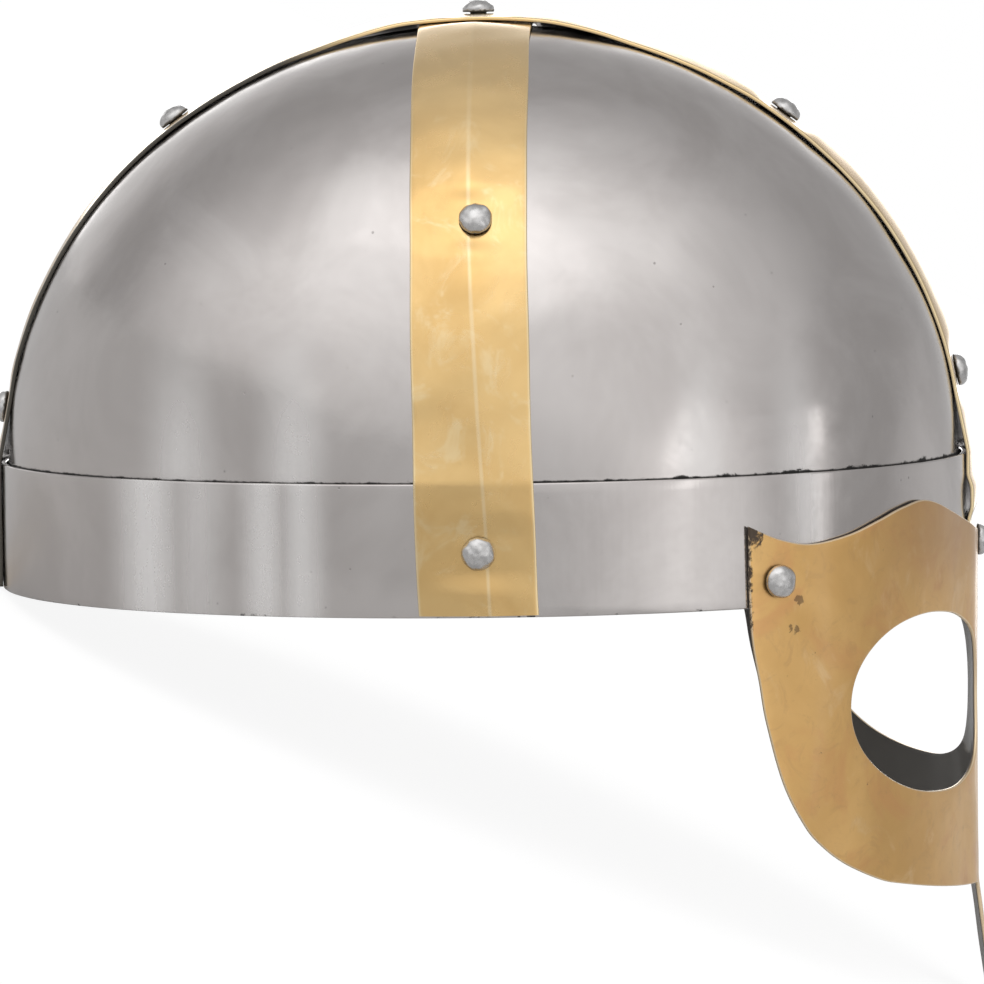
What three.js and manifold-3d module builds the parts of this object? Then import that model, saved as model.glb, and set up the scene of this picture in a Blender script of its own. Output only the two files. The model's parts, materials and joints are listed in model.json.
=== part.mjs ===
// Spectacled helmet of riveted steel and brass, in millimetres, +Z up, wearer facing -Y.
//
// The helmet is drawn upright: the seam, where the dome meets the top edge of the brow band,
// is the plane z = 0, and the middle of the band is the origin. It is then tipped back until
// it rests on the nasal tip and on the rear of the band, and set on the ground.

import * as THREE from 'three';
import { mergeVertices } from 'three/addons/utils/BufferGeometryUtils.js';
import Module from 'manifold-3d';

const wasm = await Module();
wasm.setup();

// Brow band
const bandHalfLength = 119.2;
const bandHalfWidth = 100;
const bandHeight = 31;
const bandSteel = 1.2;

// Dome
const domeRise = 106.5;
const domeSteel = 1.2;
const domeTuck = 28.5;
const domeInset = 0.3;
const tuckBend = 7;

// Straps
const strapWidth = 27.5;
const strapSheet = 0.9;
const strapCrease = 1;
const strapFootRise = 0.6;
const strapLeaveHeight = 17;
const flattenRamp = 6;
const crossingMargin = 3;
const crossingRamp = 24;

// Eye guard and nasal
const guardSheet = 1;
const guardReach = 108;
const guardDrop = 106;
const eyeReach = 44.4;
const eyeDrop = 57.9;
const eyeLength = 68.6;
const eyeHeight = 43.2;
const eyeTilt = 5.3;
const nasalWidth = 20;
const nasalTipWidth = 16;
const nasalDrop = 138;
const nasalCorner = 4;
const nasalLean = 7;
const guardRamp = 16;

// Rivets
const headDiameter = 7.8;
const headHeight = 3;
const headEdge = 0.6;
const shankDiameter = 4;
const tailDiameter = 6.4;
const tailHeight = 1.2;
const tailChamfer = 0.6;

// Fits
const fitGap = 0.3;
const shankClearance = 0.3;
const tailGap = 0.6;
const cutterSpare = 2;

// Fineness of the facets
const bandSides = 72;
const domeSides = 48;
const domeRows = 12;
const strapStep = 11;
const strapSpacing = 3.6;
const strapColumns = 4;
const guardStep = 5;
const rulingSpacing = 0.9;
const rivetSides = 12;
const headRows = 3;
const eyeSides = 28;
const edgeSegments = 2;
const routeSamples = 400;
const wrapSamples = 600;
const restPasses = 6;
const weldDistance = 1e-4;
const lengthPrecision = 1e-6;

// Top edge of the guard, from the pointed temple corner to the middle.
// reach is a share of guardReach, drop a share of guardDrop.
const topEdge = [
  { reach: 1.0, drop: 0.11 },
  { reach: 0.923, drop: 0.142 },
  { reach: 0.839, drop: 0.157 },
  { reach: 0.731, drop: 0.143 },
  { reach: 0.636, drop: 0.117 },
  { reach: 0.546, drop: 0.093 },
  { reach: 0.45, drop: 0.085 },
  { reach: 0.298, drop: 0.124 },
  { reach: 0.114, drop: 0.175 },
  { reach: 0.0, drop: 0.182 },
];

// Rear and lower edge of the guard, from the temple corner down and forward to the nasal.
const lowerEdge = [
  { reach: 1.0, drop: 0.11 },
  { reach: 0.997, drop: 0.293 },
  { reach: 0.991, drop: 0.372 },
  { reach: 0.974, drop: 0.46 },
  { reach: 0.957, drop: 0.55 },
  { reach: 0.916, drop: 0.687 },
  { reach: 0.864, drop: 0.78 },
  { reach: 0.819, drop: 0.829 },
  { reach: 0.744, drop: 0.881 },
  { reach: 0.638, drop: 0.926 },
  { reach: 0.556, drop: 0.945 },
  { reach: 0.42, drop: 0.968 },
  { reach: 0.26, drop: 0.989 },
  { reach: 0.14, drop: 1.0 },
];

// Fullness of the eye opening's rounded outline: 2 is an ellipse, more is squarer.
const eyeFullness = { nose: 2.5, temple: 2.1 };

// Rivets. rise is a share of domeRise above the seam and, where negative, of bandHeight
// below it; reach is a share of guardReach. end is +1 at the front or the left, -1 at the
// rear or the right.
const rivetRows = [
  { name: 'rivet_apex', on: 'foreAft', end: 1, rise: 1 },
  { name: 'rivet_front_upper', on: 'foreAft', end: 1, rise: 0.775 },
  { name: 'rivet_front_lower', on: 'foreAft', end: 1, rise: 0.181 },
  { name: 'rivet_rear_upper', on: 'foreAft', end: -1, rise: 0.775 },
  { name: 'rivet_rear_lower', on: 'foreAft', end: -1, rise: 0.122 },
  { name: 'rivet_rear_foot', on: 'foreAft', end: -1, rise: -0.516 },
  { name: 'rivet_front_foot', on: 'guard', end: 0, reach: 0, rise: -0.726 },
  { name: 'rivet_left_upper', on: 'side', end: 1, rise: 0.559 },
  { name: 'rivet_right_upper', on: 'side', end: -1, rise: 0.559 },
  { name: 'rivet_left_foot', on: 'side', end: 1, rise: -0.516 },
  { name: 'rivet_right_foot', on: 'side', end: -1, rise: -0.516 },
  { name: 'rivet_left_temple', on: 'guard', end: 1, reach: 0.927, rise: -0.8 },
  { name: 'rivet_right_temple', on: 'guard', end: -1, reach: 0.927, rise: -0.8 },
];

// Sizes that follow
const domeHalfLength = bandHalfLength - bandSteel - fitGap - domeInset;
const domeHalfWidth = bandHalfWidth - bandSteel - fitGap - domeInset;
const ledge = bandSteel + fitGap + domeInset;
const strapStack = strapSheet + fitGap;
const headRadius = headDiameter / 2;
const shankRadius = shankDiameter / 2;

const polished = { color: 0xa9a4a2, roughness: 0.25, metalness: 1 };
const goldenBrass = { color: 0xd9b676, roughness: 0.3, metalness: 1 };
const brownBrass = { color: 0xb8955c, roughness: 0.35, metalness: 1 };
const dullSteel = { color: 0x8f8c8b, roughness: 0.4, metalness: 1 };

function smoothStep(from, to, value) {
  return THREE.MathUtils.smoothstep(value, from, to);
}

// Share of its own size that an ellipsoid keeps at a distance from its middle plane.
function narrowing(distance, halfSize) {
  return Math.sqrt(1 - (distance / halfSize) ** 2);
}

function rivetHeight(row) {
  return row.rise * (row.rise > 0 ? domeRise : bandHeight);
}

function bodyFrom(positions, indices) {
  const geometry = new THREE.BufferGeometry();
  geometry.setAttribute('position', new THREE.Float32BufferAttribute(positions, 3));
  geometry.setIndex(indices);
  return geometry;
}

function positionsOnly(geometry) {
  const bare = geometry.clone();
  for (const name of Object.keys(bare.attributes)) {
    if (name !== 'position') {
      bare.deleteAttribute(name);
    }
  }
  return bare;
}

function solidOf(geometry) {
  const merged = mergeVertices(positionsOnly(geometry), weldDistance);
  const vertProperties = new Float32Array(merged.attributes.position.array);
  const triVerts = new Uint32Array(merged.index.array);
  return new wasm.Manifold(new wasm.Mesh({ numProp: 3, vertProperties, triVerts }));
}

function geometryOf(solid) {
  const mesh = solid.getMesh();
  return bodyFrom(mesh.vertProperties, Array.from(mesh.triVerts));
}

function drilled(geometry, cutters) {
  let solid = solidOf(geometry);
  for (const cutter of cutters) {
    solid = solid.subtract(cutter);
  }
  return geometryOf(solid);
}

// Closed body through elliptical rings. The profile runs round the wall's section; a row
// with no length is a pole. Its last row joins its first unless both are poles.
function ringBody(profile, sides) {
  const positions = [];
  const starts = [];
  for (const row of profile) {
    starts.push(positions.length / 3);
    const isPole = row.halfLength === 0;
    for (let side = 0; side < (isPole ? 1 : sides); side += 1) {
      const turn = (2 * Math.PI * side) / sides;
      positions.push(row.halfWidth * Math.cos(turn), row.halfLength * Math.sin(turn), row.height);
    }
  }
  const indices = [];
  const vertex = (row, side) => {
    const single = profile[row].halfLength === 0;
    return starts[row] + (single ? 0 : side % sides);
  };
  for (let row = 0; row < profile.length; row += 1) {
    const next = (row + 1) % profile.length;
    for (let side = 0; side < sides; side += 1) {
      const corners = [vertex(row, side), vertex(row, side + 1), vertex(next, side + 1), vertex(next, side)];
      if (corners[0] !== corners[1]) {
        indices.push(corners[0], corners[1], corners[2]);
      }
      if (corners[2] !== corners[3]) {
        indices.push(corners[0], corners[2], corners[3]);
      }
    }
  }
  return bodyFrom(positions, indices);
}

function makeBand() {
  const outer = { halfLength: bandHalfLength, halfWidth: bandHalfWidth };
  const inner = { halfLength: bandHalfLength - bandSteel, halfWidth: bandHalfWidth - bandSteel };
  return ringBody(
    [
      { ...outer, height: -bandHeight },
      { ...outer, height: 0 },
      { ...inner, height: 0 },
      { ...inner, height: -bandHeight },
    ],
    bandSides,
  );
}

// Rows of one face of the dome from its tucked edge to the top, drawn in by a wall.
function domeFace(wall) {
  const rows = [];
  const tucked = domeInset - wall;
  rows.push({ halfLength: domeHalfLength + tucked, halfWidth: domeHalfWidth + tucked, height: -domeTuck });
  rows.push({ halfLength: domeHalfLength + tucked, halfWidth: domeHalfWidth + tucked, height: -tuckBend });
  for (let row = 0; row <= domeRows; row += 1) {
    const climb = (Math.PI / 2) * (row / domeRows);
    const around = row === domeRows ? 0 : Math.cos(climb);
    rows.push({
      halfLength: (domeHalfLength - wall) * around,
      halfWidth: (domeHalfWidth - wall) * around,
      height: (domeRise - wall) * Math.sin(climb),
    });
  }
  return rows;
}

function makeDome() {
  return ringBody([...domeFace(0), ...domeFace(domeSteel).reverse()], domeSides);
}

// Middle line of a strap's route on the dome: an ellipse above the seam and a straight
// drop below it. Each sample holds the outward normal and the distance from the top.
function strapRoute(reach) {
  const samples = [];
  let length = 0;
  let previous = null;
  for (let step = 0; step <= routeSamples; step += 1) {
    const climb = (Math.PI / 2) * (1 - step / routeSamples);
    const normal = new THREE.Vector2(Math.cos(climb) / reach, Math.sin(climb) / domeRise).normalize();
    const point = new THREE.Vector2(reach * Math.cos(climb), domeRise * Math.sin(climb));
    length += previous ? point.distanceTo(previous) : 0;
    samples.push({ length, point, normal });
    previous = point;
  }
  return { samples, seamLength: length, reach };
}

function routeAt(route, length) {
  if (length >= route.seamLength) {
    const drop = length - route.seamLength;
    return { point: new THREE.Vector2(route.reach, -drop), normal: new THREE.Vector2(1, 0) };
  }
  const { samples } = route;
  let low = 0;
  let high = samples.length - 1;
  while (high - low > 1) {
    const middle = Math.floor((low + high) / 2);
    if (samples[middle].length <= length) {
      low = middle;
    } else {
      high = middle;
    }
  }
  const share = (length - samples[low].length) / (samples[high].length - samples[low].length);
  const point = samples[low].point.clone().lerp(samples[high].point, share);
  const normal = samples[low].normal.clone().lerp(samples[high].normal, share).normalize();
  return { point, normal };
}

function routeLengthAtHeight(route, height) {
  if (height <= 0) {
    return route.seamLength - height;
  }
  let low = 0;
  let high = route.seamLength;
  while (high - low > lengthPrecision) {
    const middle = (low + high) / 2;
    if (routeAt(route, middle).point.y > height) {
      low = middle;
    } else {
      high = middle;
    }
  }
  return low;
}

// The two straps. along gives the level axis of the route, across the axis of its width.
const straps = {
  foreAft: {
    route: strapRoute(domeHalfLength),
    sideHalf: domeHalfWidth,
    along: new THREE.Vector3(0, -1, 0),
    across: new THREE.Vector3(1, 0, 0),
    isUpper: true,
  },
  side: {
    route: strapRoute(domeHalfWidth),
    sideHalf: domeHalfLength,
    along: new THREE.Vector3(1, 0, 0),
    across: new THREE.Vector3(0, 1, 0),
    isUpper: false,
  },
};

function strapStand(strap, distance, height) {
  const overBand = ledge * Math.max(0, 1 - Math.max(height, 0) / strapLeaveHeight) ** 2;
  if (!strap.isUpper) {
    return overBand;
  }
  const crossing = strapWidth / 2 + crossingMargin;
  return overBand + strapStack * (1 - smoothStep(crossing, crossing + crossingRamp, distance));
}

// Places where a strap has no crease: under the rivets, the crossing and the guard.
function flatSpots(name) {
  const spots = [];
  const { route } = straps[name];
  for (const row of rivetRows) {
    if (row.on === name) {
      spots.push({ centre: row.end * routeLengthAtHeight(route, rivetHeight(row)), half: headRadius });
    }
  }
  if (name === 'side') {
    spots.push({ centre: 0, half: strapWidth / 2 + fitGap });
  }
  if (name === 'foreAft') {
    const top = topEdge[topEdge.length - 1].drop * guardDrop;
    const from = routeLengthAtHeight(route, -top) - crossingMargin;
    const half = (bandHeight + flattenRamp - top) / 2;
    spots.push({ centre: from + half, half });
  }
  return spots;
}

for (const name of Object.keys(straps)) {
  straps[name].flats = flatSpots(name);
}

// A point of a strap's sheet: length from the top (front or left is positive), distance
// from its middle line, and height above its under face.
function strapPoint(strap, length, aside, lift) {
  const distance = Math.abs(length);
  const { point, normal } = routeAt(strap.route, distance);
  const share = Math.abs(aside) / (strapWidth / 2);
  let crease = strapCrease * (1 - share);
  for (const spot of strap.flats) {
    const away = Math.abs(length - spot.centre);
    crease *= smoothStep(spot.half, spot.half + flattenRamp, away);
  }
  const fall = (1 - narrowing(aside, strap.sideHalf)) * point.dot(normal);
  const out = fitGap + strapStand(strap, distance, point.y) + lift + crease - fall;
  const level = Math.sign(length || 1) * (point.x + normal.x * out);
  return new THREE.Vector3()
    .addScaledVector(strap.along, level)
    .addScaledVector(strap.across, aside)
    .setZ(point.y + normal.y * out);
}

function geometryFromFaces(faces) {
  const positions = [];
  for (const face of faces) {
    for (let corner = 1; corner < face.length - 1; corner += 1) {
      positions.push(...face[0].toArray(), ...face[corner].toArray(), ...face[corner + 1].toArray());
    }
  }
  const soup = new THREE.BufferGeometry();
  soup.setAttribute('position', new THREE.Float32BufferAttribute(positions, 3));
  const merged = mergeVertices(soup, weldDistance);
  const kept = [];
  for (let start = 0; start < merged.index.count; start += 3) {
    const corners = [0, 1, 2].map((corner) => merged.index.getX(start + corner));
    if (new Set(corners).size === 3) {
      kept.push(...corners);
    }
  }
  merged.setIndex(kept);
  return merged;
}

function evenSteps(from, to, step) {
  const count = Math.max(1, Math.round((to - from) / step));
  return Array.from({ length: count - 1 }, (_, index) => from + ((to - from) * (index + 1)) / count);
}

// Moves each point of a flat sheet to its bent place. The function gets the point's two
// flat directions and its height above the under face.
function bend(geometry, place) {
  const points = geometry.attributes.position;
  for (let index = 0; index < points.count; index += 1) {
    const bent = place(points.getX(index), points.getY(index), points.getZ(index));
    points.setXYZ(index, bent.x, bent.y, bent.z);
  }
  return geometry;
}

// Lengths at which a strap is bent: even steps, its two seams and the edges of its flats.
function strapStations(strap) {
  const end = routeLengthAtHeight(strap.route, strapFootRise - bandHeight);
  const bends = [strap.route.seamLength, -strap.route.seamLength];
  for (const spot of strap.flats) {
    for (const edge of [spot.half, spot.half + flattenRamp]) {
      bends.push(spot.centre - edge, spot.centre + edge);
    }
  }
  const inside = bends.filter((value) => Math.abs(value) < end);
  return spacedOut([-end, end, ...inside, ...evenSteps(-end, end, strapStep)], strapSpacing);
}

function makeStrap(name) {
  const strap = straps[name];
  const stations = strapStations(strap);
  const bays = stations.length - 1;
  const block = new THREE.BoxGeometry(bays, strapWidth, strapSheet, bays, strapColumns, 1);
  block.translate(bays / 2, 0, strapSheet / 2);
  const sheet = mergeVertices(positionsOnly(block), weldDistance);
  return bend(sheet, (x, y, z) => strapPoint(strap, stations[Math.round(x)], y, z));
}

// Values in order, with those closer than a spacing to an earlier one left out.
function spacedOut(values, spacing) {
  const kept = [];
  for (const value of values) {
    if (kept.every((other) => Math.abs(other - value) > spacing)) {
      kept.push(value);
    }
  }
  return kept.sort((low, high) => low - high);
}

// Wrap of the guard round the band: the turn from the front at each length along it.
function wrapTable() {
  const samples = [{ length: 0, turn: 0 }];
  let length = 0;
  let previous = new THREE.Vector2(0, bandHalfLength);
  for (let step = 1; step <= wrapSamples; step += 1) {
    const turn = (Math.PI / 2) * (step / wrapSamples);
    const point = new THREE.Vector2(bandHalfWidth * Math.sin(turn), bandHalfLength * Math.cos(turn));
    length += point.distanceTo(previous);
    samples.push({ length, turn });
    previous = point;
  }
  return samples;
}

const wrap = wrapTable();

function wrapTurn(length) {
  const distance = Math.abs(length);
  const after = wrap.findIndex((sample) => sample.length >= distance);
  const high = Math.max(1, after);
  const low = high - 1;
  const share = (distance - wrap[low].length) / (wrap[high].length - wrap[low].length);
  return Math.sign(length) * THREE.MathUtils.lerp(wrap[low].turn, wrap[high].turn, share);
}

// Outward direction and place on the band's outer face at a length round from the front.
function bandAt(length) {
  const turn = wrapTurn(length);
  const point = new THREE.Vector3(bandHalfWidth * Math.sin(turn), -bandHalfLength * Math.cos(turn), 0);
  const normal = new THREE.Vector3(Math.sin(turn) / bandHalfWidth, -Math.cos(turn) / bandHalfLength, 0);
  return { point, normal: normal.normalize() };
}

function guardStand(length) {
  const overStrap = strapWidth / 2 + fitGap;
  return fitGap + strapStack * (1 - smoothStep(overStrap, overStrap + guardRamp, Math.abs(length)));
}

function guardPoint(length, height, lift) {
  const { point, normal } = bandAt(length);
  const below = Math.max(0, -height - guardDrop);
  const lean = below * Math.tan(THREE.MathUtils.degToRad(nasalLean));
  const placed = point.clone().addScaledVector(normal, guardStand(length) + lift);
  return placed.setY(placed.y - lean).setZ(height);
}

function splinedEdge(rows) {
  const points = rows.map((row) => new THREE.Vector2(row.reach * guardReach, -row.drop * guardDrop));
  return new THREE.SplineCurve(points).getPoints(edgeSegments * (rows.length - 1));
}

// Left half of the guard's outline: top edge, rear and lower edge, and nasal.
function guardOutline() {
  const tip = nasalTipWidth / 2;
  const nasal = new THREE.Path();
  const lowerFront = lowerEdge[lowerEdge.length - 1];
  nasal.moveTo(lowerFront.reach * guardReach, -lowerFront.drop * guardDrop);
  nasal.quadraticCurveTo(nasalWidth / 2, -guardDrop, nasalWidth / 2, -guardDrop - nasalCorner);
  nasal.lineTo(tip, nasalCorner - nasalDrop);
  nasal.quadraticCurveTo(tip, -nasalDrop, tip - nasalCorner, -nasalDrop);
  nasal.lineTo(0, -nasalDrop);
  const lower = splinedEdge(lowerEdge);
  return [...splinedEdge(topEdge).reverse(), ...lower.slice(1), ...nasal.getPoints(edgeSegments).slice(1)];
}

function eyeOutline() {
  const tilt = THREE.MathUtils.degToRad(eyeTilt);
  const points = [];
  for (let step = 0; step < eyeSides; step += 1) {
    const turn = (2 * Math.PI * step) / eyeSides;
    const power = 2 / (Math.cos(turn) > 0 ? eyeFullness.temple : eyeFullness.nose);
    const across = (eyeLength / 2) * Math.sign(Math.cos(turn)) * Math.abs(Math.cos(turn)) ** power;
    const up = (eyeHeight / 2) * Math.sign(Math.sin(turn)) * Math.abs(Math.sin(turn)) ** power;
    const reach = eyeReach + across * Math.cos(tilt) - up * Math.sin(tilt);
    const height = -eyeDrop + across * Math.sin(tilt) + up * Math.cos(tilt);
    points.push(new THREE.Vector2(reach, height));
  }
  return points;
}

// Lowest and highest crossing of a closed outline with an upright line.
function spanAt(outline, reach) {
  const heights = [];
  outline.forEach((point, index) => {
    const next = outline[(index + 1) % outline.length];
    if (Math.min(point.x, next.x) > reach || Math.max(point.x, next.x) < reach) {
      return;
    }
    if (point.x === next.x) {
      heights.push(point.y, next.y);
      return;
    }
    heights.push(THREE.MathUtils.mapLinear(reach, point.x, next.x, point.y, next.y));
  });
  return heights.length ? { low: Math.min(...heights), high: Math.max(...heights) } : null;
}

// Upright rulings of the flat guard. Each has its row heights from the bottom to the top;
// the two eye rows meet where the ruling misses the eye opening.
function guardRulings() {
  const outline = guardOutline();
  const eye = eyeOutline();
  const eyeReaches = eye.map((point) => point.x);
  const corners = [...outline, ...eye].map((point) => point.x);
  const ends = [0, guardReach, Math.min(...eyeReaches), Math.max(...eyeReaches)];
  const close = spacedOut([...ends, ...corners], rulingSpacing);
  const reaches = spacedOut([...close, ...evenSteps(0, guardReach, guardStep)], rulingSpacing);
  const half = reaches.map((reach) => {
    const whole = spanAt(outline, reach);
    const gap = spanAt(eye, reach);
    const closed = Math.min(Math.max(-eyeDrop, whole.low), whole.high);
    const eyeRows = gap ? [gap.low, gap.high] : [closed, closed];
    const leanRow = Math.max(whole.low, Math.min(-guardDrop, whole.high));
    return { reach, heights: [whole.low, leanRow, ...eyeRows, whole.high] };
  });
  const mirrored = half.slice(1).map((ruling) => ({ ...ruling, reach: -ruling.reach }));
  return [...mirrored.reverse(), ...half];
}

// The guard is cut flat, ruled with the lines that it bends along, and wrapped round.
function makeGuard() {
  const rulings = guardRulings();
  const faces = [];
  const corner = (ruling, row, lift) => new THREE.Vector3(ruling.reach, ruling.heights[row], lift);
  const strip = (first, firstRow, firstLift, second, secondRow, secondLift) => {
    faces.push([
      corner(first, firstRow, firstLift),
      corner(second, firstRow, firstLift),
      corner(second, secondRow, secondLift),
      corner(first, secondRow, secondLift),
    ]);
  };
  for (let index = 0; index < rulings.length - 1; index += 1) {
    const pair = [rulings[index], rulings[index + 1]];
    for (const [lowRow, highRow] of [[0, 1], [1, 2], [3, 4]]) {
      strip(pair[0], lowRow, guardSheet, pair[1], highRow, guardSheet);
      strip(pair[0], highRow, 0, pair[1], lowRow, 0);
    }
    for (const [row, from, to] of [[0, 0, guardSheet], [2, guardSheet, 0], [3, 0, guardSheet], [4, guardSheet, 0]]) {
      const isEye = row === 2 || row === 3;
      const isOpen = pair.some((ruling) => ruling.heights[3] > ruling.heights[2]);
      if (!isEye || isOpen) {
        strip(pair[0], row, from, pair[1], row, to);
      }
    }
  }
  return bend(geometryFromFaces(faces), guardPoint);
}

// Where a rivet sits: a point on the steel's outer face, the outward direction, and how
// far the outermost sheet and the innermost face lie from it.
function rivetSeat(row) {
  const height = rivetHeight(row);
  if (row.on === 'guard') {
    const length = row.end * row.reach * guardReach;
    const { point, normal } = bandAt(length);
    const outer = guardStand(length) + guardSheet;
    return { point: point.clone().setZ(height), normal, outer, inner: bandSteel + fitGap + domeSteel };
  }
  const strap = straps[row.on];
  const length = routeLengthAtHeight(strap.route, height);
  const { point, normal } = routeAt(strap.route, length);
  const outward = new THREE.Vector3()
    .addScaledVector(strap.along, row.end * normal.x)
    .setZ(normal.y);
  const place = new THREE.Vector3()
    .addScaledVector(strap.along, row.end * point.x)
    .setZ(point.y);
  const outer = fitGap + strapStand(strap, length, height) + strapSheet;
  const inset = height < 0 ? domeInset : 0;
  return { point: place, normal: outward, outer, inner: domeSteel - inset };
}

function placeAlong(geometry, seat) {
  const turn = new THREE.Quaternion().setFromUnitVectors(new THREE.Vector3(0, 1, 0), seat.normal);
  geometry.applyQuaternion(turn);
  geometry.translate(seat.point.x, seat.point.y, seat.point.z);
  return geometry;
}

// Domed head outside, straight shank through the sheets, and hammered tail inside.
function makeRivet(row) {
  const seat = rivetSeat(row);
  const headFoot = seat.outer + fitGap;
  const tailTop = -seat.inner - tailGap;
  const profile = [new THREE.Vector2(0, tailTop - tailHeight)];
  profile.push(new THREE.Vector2(tailDiameter / 2 - tailChamfer, tailTop - tailHeight));
  profile.push(new THREE.Vector2(tailDiameter / 2, tailTop));
  profile.push(new THREE.Vector2(shankRadius, tailTop));
  profile.push(new THREE.Vector2(shankRadius, headFoot));
  profile.push(new THREE.Vector2(headRadius, headFoot));
  const crown = headHeight - headEdge;
  for (let headRow = 0; headRow < headRows; headRow += 1) {
    const turn = (Math.PI / 2) * (headRow / headRows);
    profile.push(new THREE.Vector2(headRadius * Math.cos(turn), headFoot + headEdge + crown * Math.sin(turn)));
  }
  profile.push(new THREE.Vector2(0, headFoot + headHeight));
  return placeAlong(new THREE.LatheGeometry(profile, rivetSides), seat);
}

function makeCutter(row) {
  const seat = rivetSeat(row);
  const length = seat.outer + seat.inner + 2 * cutterSpare;
  const cutter = new THREE.CylinderGeometry(
    shankRadius + shankClearance,
    shankRadius + shankClearance,
    length,
    rivetSides,
  );
  cutter.translate(0, (seat.outer - seat.inner) / 2, 0);
  return solidOf(placeAlong(cutter, seat));
}

function namedMesh(name, geometry, look) {
  const mesh = new THREE.Mesh(geometry, new THREE.MeshStandardMaterial(look));
  mesh.name = name;
  return mesh;
}

// Lean back at which the lowest point in front and the lowest behind touch one level
// ground: each pass turns the helmet by the slope between the two that it finds.
function restAngle(meshes) {
  let angle = 0;
  for (let pass = 0; pass < restPasses; pass += 1) {
    const lowest = { front: null, rear: null };
    for (const mesh of meshes) {
      const points = mesh.geometry.attributes.position;
      for (let index = 0; index < points.count; index += 1) {
        const ahead = -points.getY(index) * Math.cos(angle) - points.getZ(index) * Math.sin(angle);
        const height = points.getZ(index) * Math.cos(angle) - points.getY(index) * Math.sin(angle);
        const end = ahead > 0 ? 'front' : 'rear';
        if (!lowest[end] || height < lowest[end].height) {
          lowest[end] = { ahead, height };
        }
      }
    }
    const rise = lowest.rear.height - lowest.front.height;
    angle += Math.atan2(rise, lowest.front.ahead - lowest.rear.ahead);
  }
  return angle;
}

const cutters = rivetRows.map(makeCutter);
const meshes = [
  namedMesh('skull_dome', drilled(makeDome(), cutters), polished),
  namedMesh('brow_band', drilled(makeBand(), cutters), polished),
  namedMesh('strap_fore_aft', drilled(makeStrap('foreAft'), cutters), goldenBrass),
  namedMesh('strap_side', drilled(makeStrap('side'), cutters), goldenBrass),
  namedMesh('spectacle_guard', drilled(makeGuard(), cutters), brownBrass),
  ...rivetRows.map((row) => namedMesh(row.name, makeRivet(row), dullSteel)),
];

const helmet = new THREE.Group();
helmet.add(...meshes);
helmet.rotation.x = -restAngle(meshes);

const part = new THREE.Group();
part.add(helmet);
part.updateMatrixWorld(true);
const box = new THREE.Box3().setFromObject(part, true);
helmet.position.set(-(box.min.x + box.max.x) / 2, -(box.min.y + box.max.y) / 2, -box.min.z);
part.updateMatrixWorld(true);

export default part;
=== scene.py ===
"""Riveted steel and brass helmet with an eye guard, dressed and set on a pale floor.

Sizes are in metres. The helmet is drawn upright, with the wearer facing -Y, the wearer's left
at +X and the seam between the dome and the brow band at height 0. Each piece is then tipped
back and set down where the frame's solids rest.
"""

import json
import math

import bpy
import numpy as np
from bpy.props import FloatProperty, FloatVectorProperty, IntProperty, PointerProperty
from mathutils import Matrix, Vector
from mathutils.geometry import delaunay_2d_cdt


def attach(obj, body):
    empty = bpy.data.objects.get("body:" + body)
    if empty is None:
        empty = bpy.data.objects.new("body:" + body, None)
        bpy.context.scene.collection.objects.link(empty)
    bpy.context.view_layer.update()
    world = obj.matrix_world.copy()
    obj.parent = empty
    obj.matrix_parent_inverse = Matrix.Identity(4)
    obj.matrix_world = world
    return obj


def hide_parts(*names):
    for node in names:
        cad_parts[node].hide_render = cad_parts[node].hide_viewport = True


bl_info = {
    "name": "Spectacled Helmet",
    "version": (1, 0, 0),
    "blender": (4, 5, 0),
    "location": "3D View > Sidebar > Helmet",
    "description": "Dresses a riveted steel and brass helmet and sets its stage",
    "category": "Object",
}

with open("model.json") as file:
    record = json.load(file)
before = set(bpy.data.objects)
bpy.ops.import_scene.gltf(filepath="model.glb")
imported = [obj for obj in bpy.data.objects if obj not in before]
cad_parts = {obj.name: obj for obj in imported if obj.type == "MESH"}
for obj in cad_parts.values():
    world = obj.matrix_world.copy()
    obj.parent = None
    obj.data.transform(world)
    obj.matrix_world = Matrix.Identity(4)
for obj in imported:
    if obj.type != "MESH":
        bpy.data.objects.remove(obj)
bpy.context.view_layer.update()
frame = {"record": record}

MILLIMETRE = 0.001

# Middle of the rim's lower face on the wearer's left, on the upright helmet. The record gives
# where this point rests and which way the rim faces.
RIM_POINT = Vector((0.09921, 0.005168, -0.031))

# Top edge of the eye guard, from the pointed temple corner to the middle. Each row is a share
# of the guard's reach round the band and a share of its drop below the seam.
TOP_EDGE = (
    (1.0, 0.11), (0.923, 0.142), (0.839, 0.157), (0.731, 0.143), (0.636, 0.117),
    (0.546, 0.093), (0.45, 0.085), (0.298, 0.124), (0.114, 0.175), (0.0, 0.182),
)

# Rear and lower edge of the guard, from the temple corner down and forward to the nasal.
LOWER_EDGE = (
    (1.0, 0.11), (0.997, 0.293), (0.991, 0.372), (0.974, 0.46), (0.957, 0.55),
    (0.916, 0.687), (0.864, 0.78), (0.819, 0.829), (0.744, 0.881), (0.638, 0.926),
    (0.556, 0.945), (0.42, 0.968), (0.26, 0.989), (0.14, 1.0),
)

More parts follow.
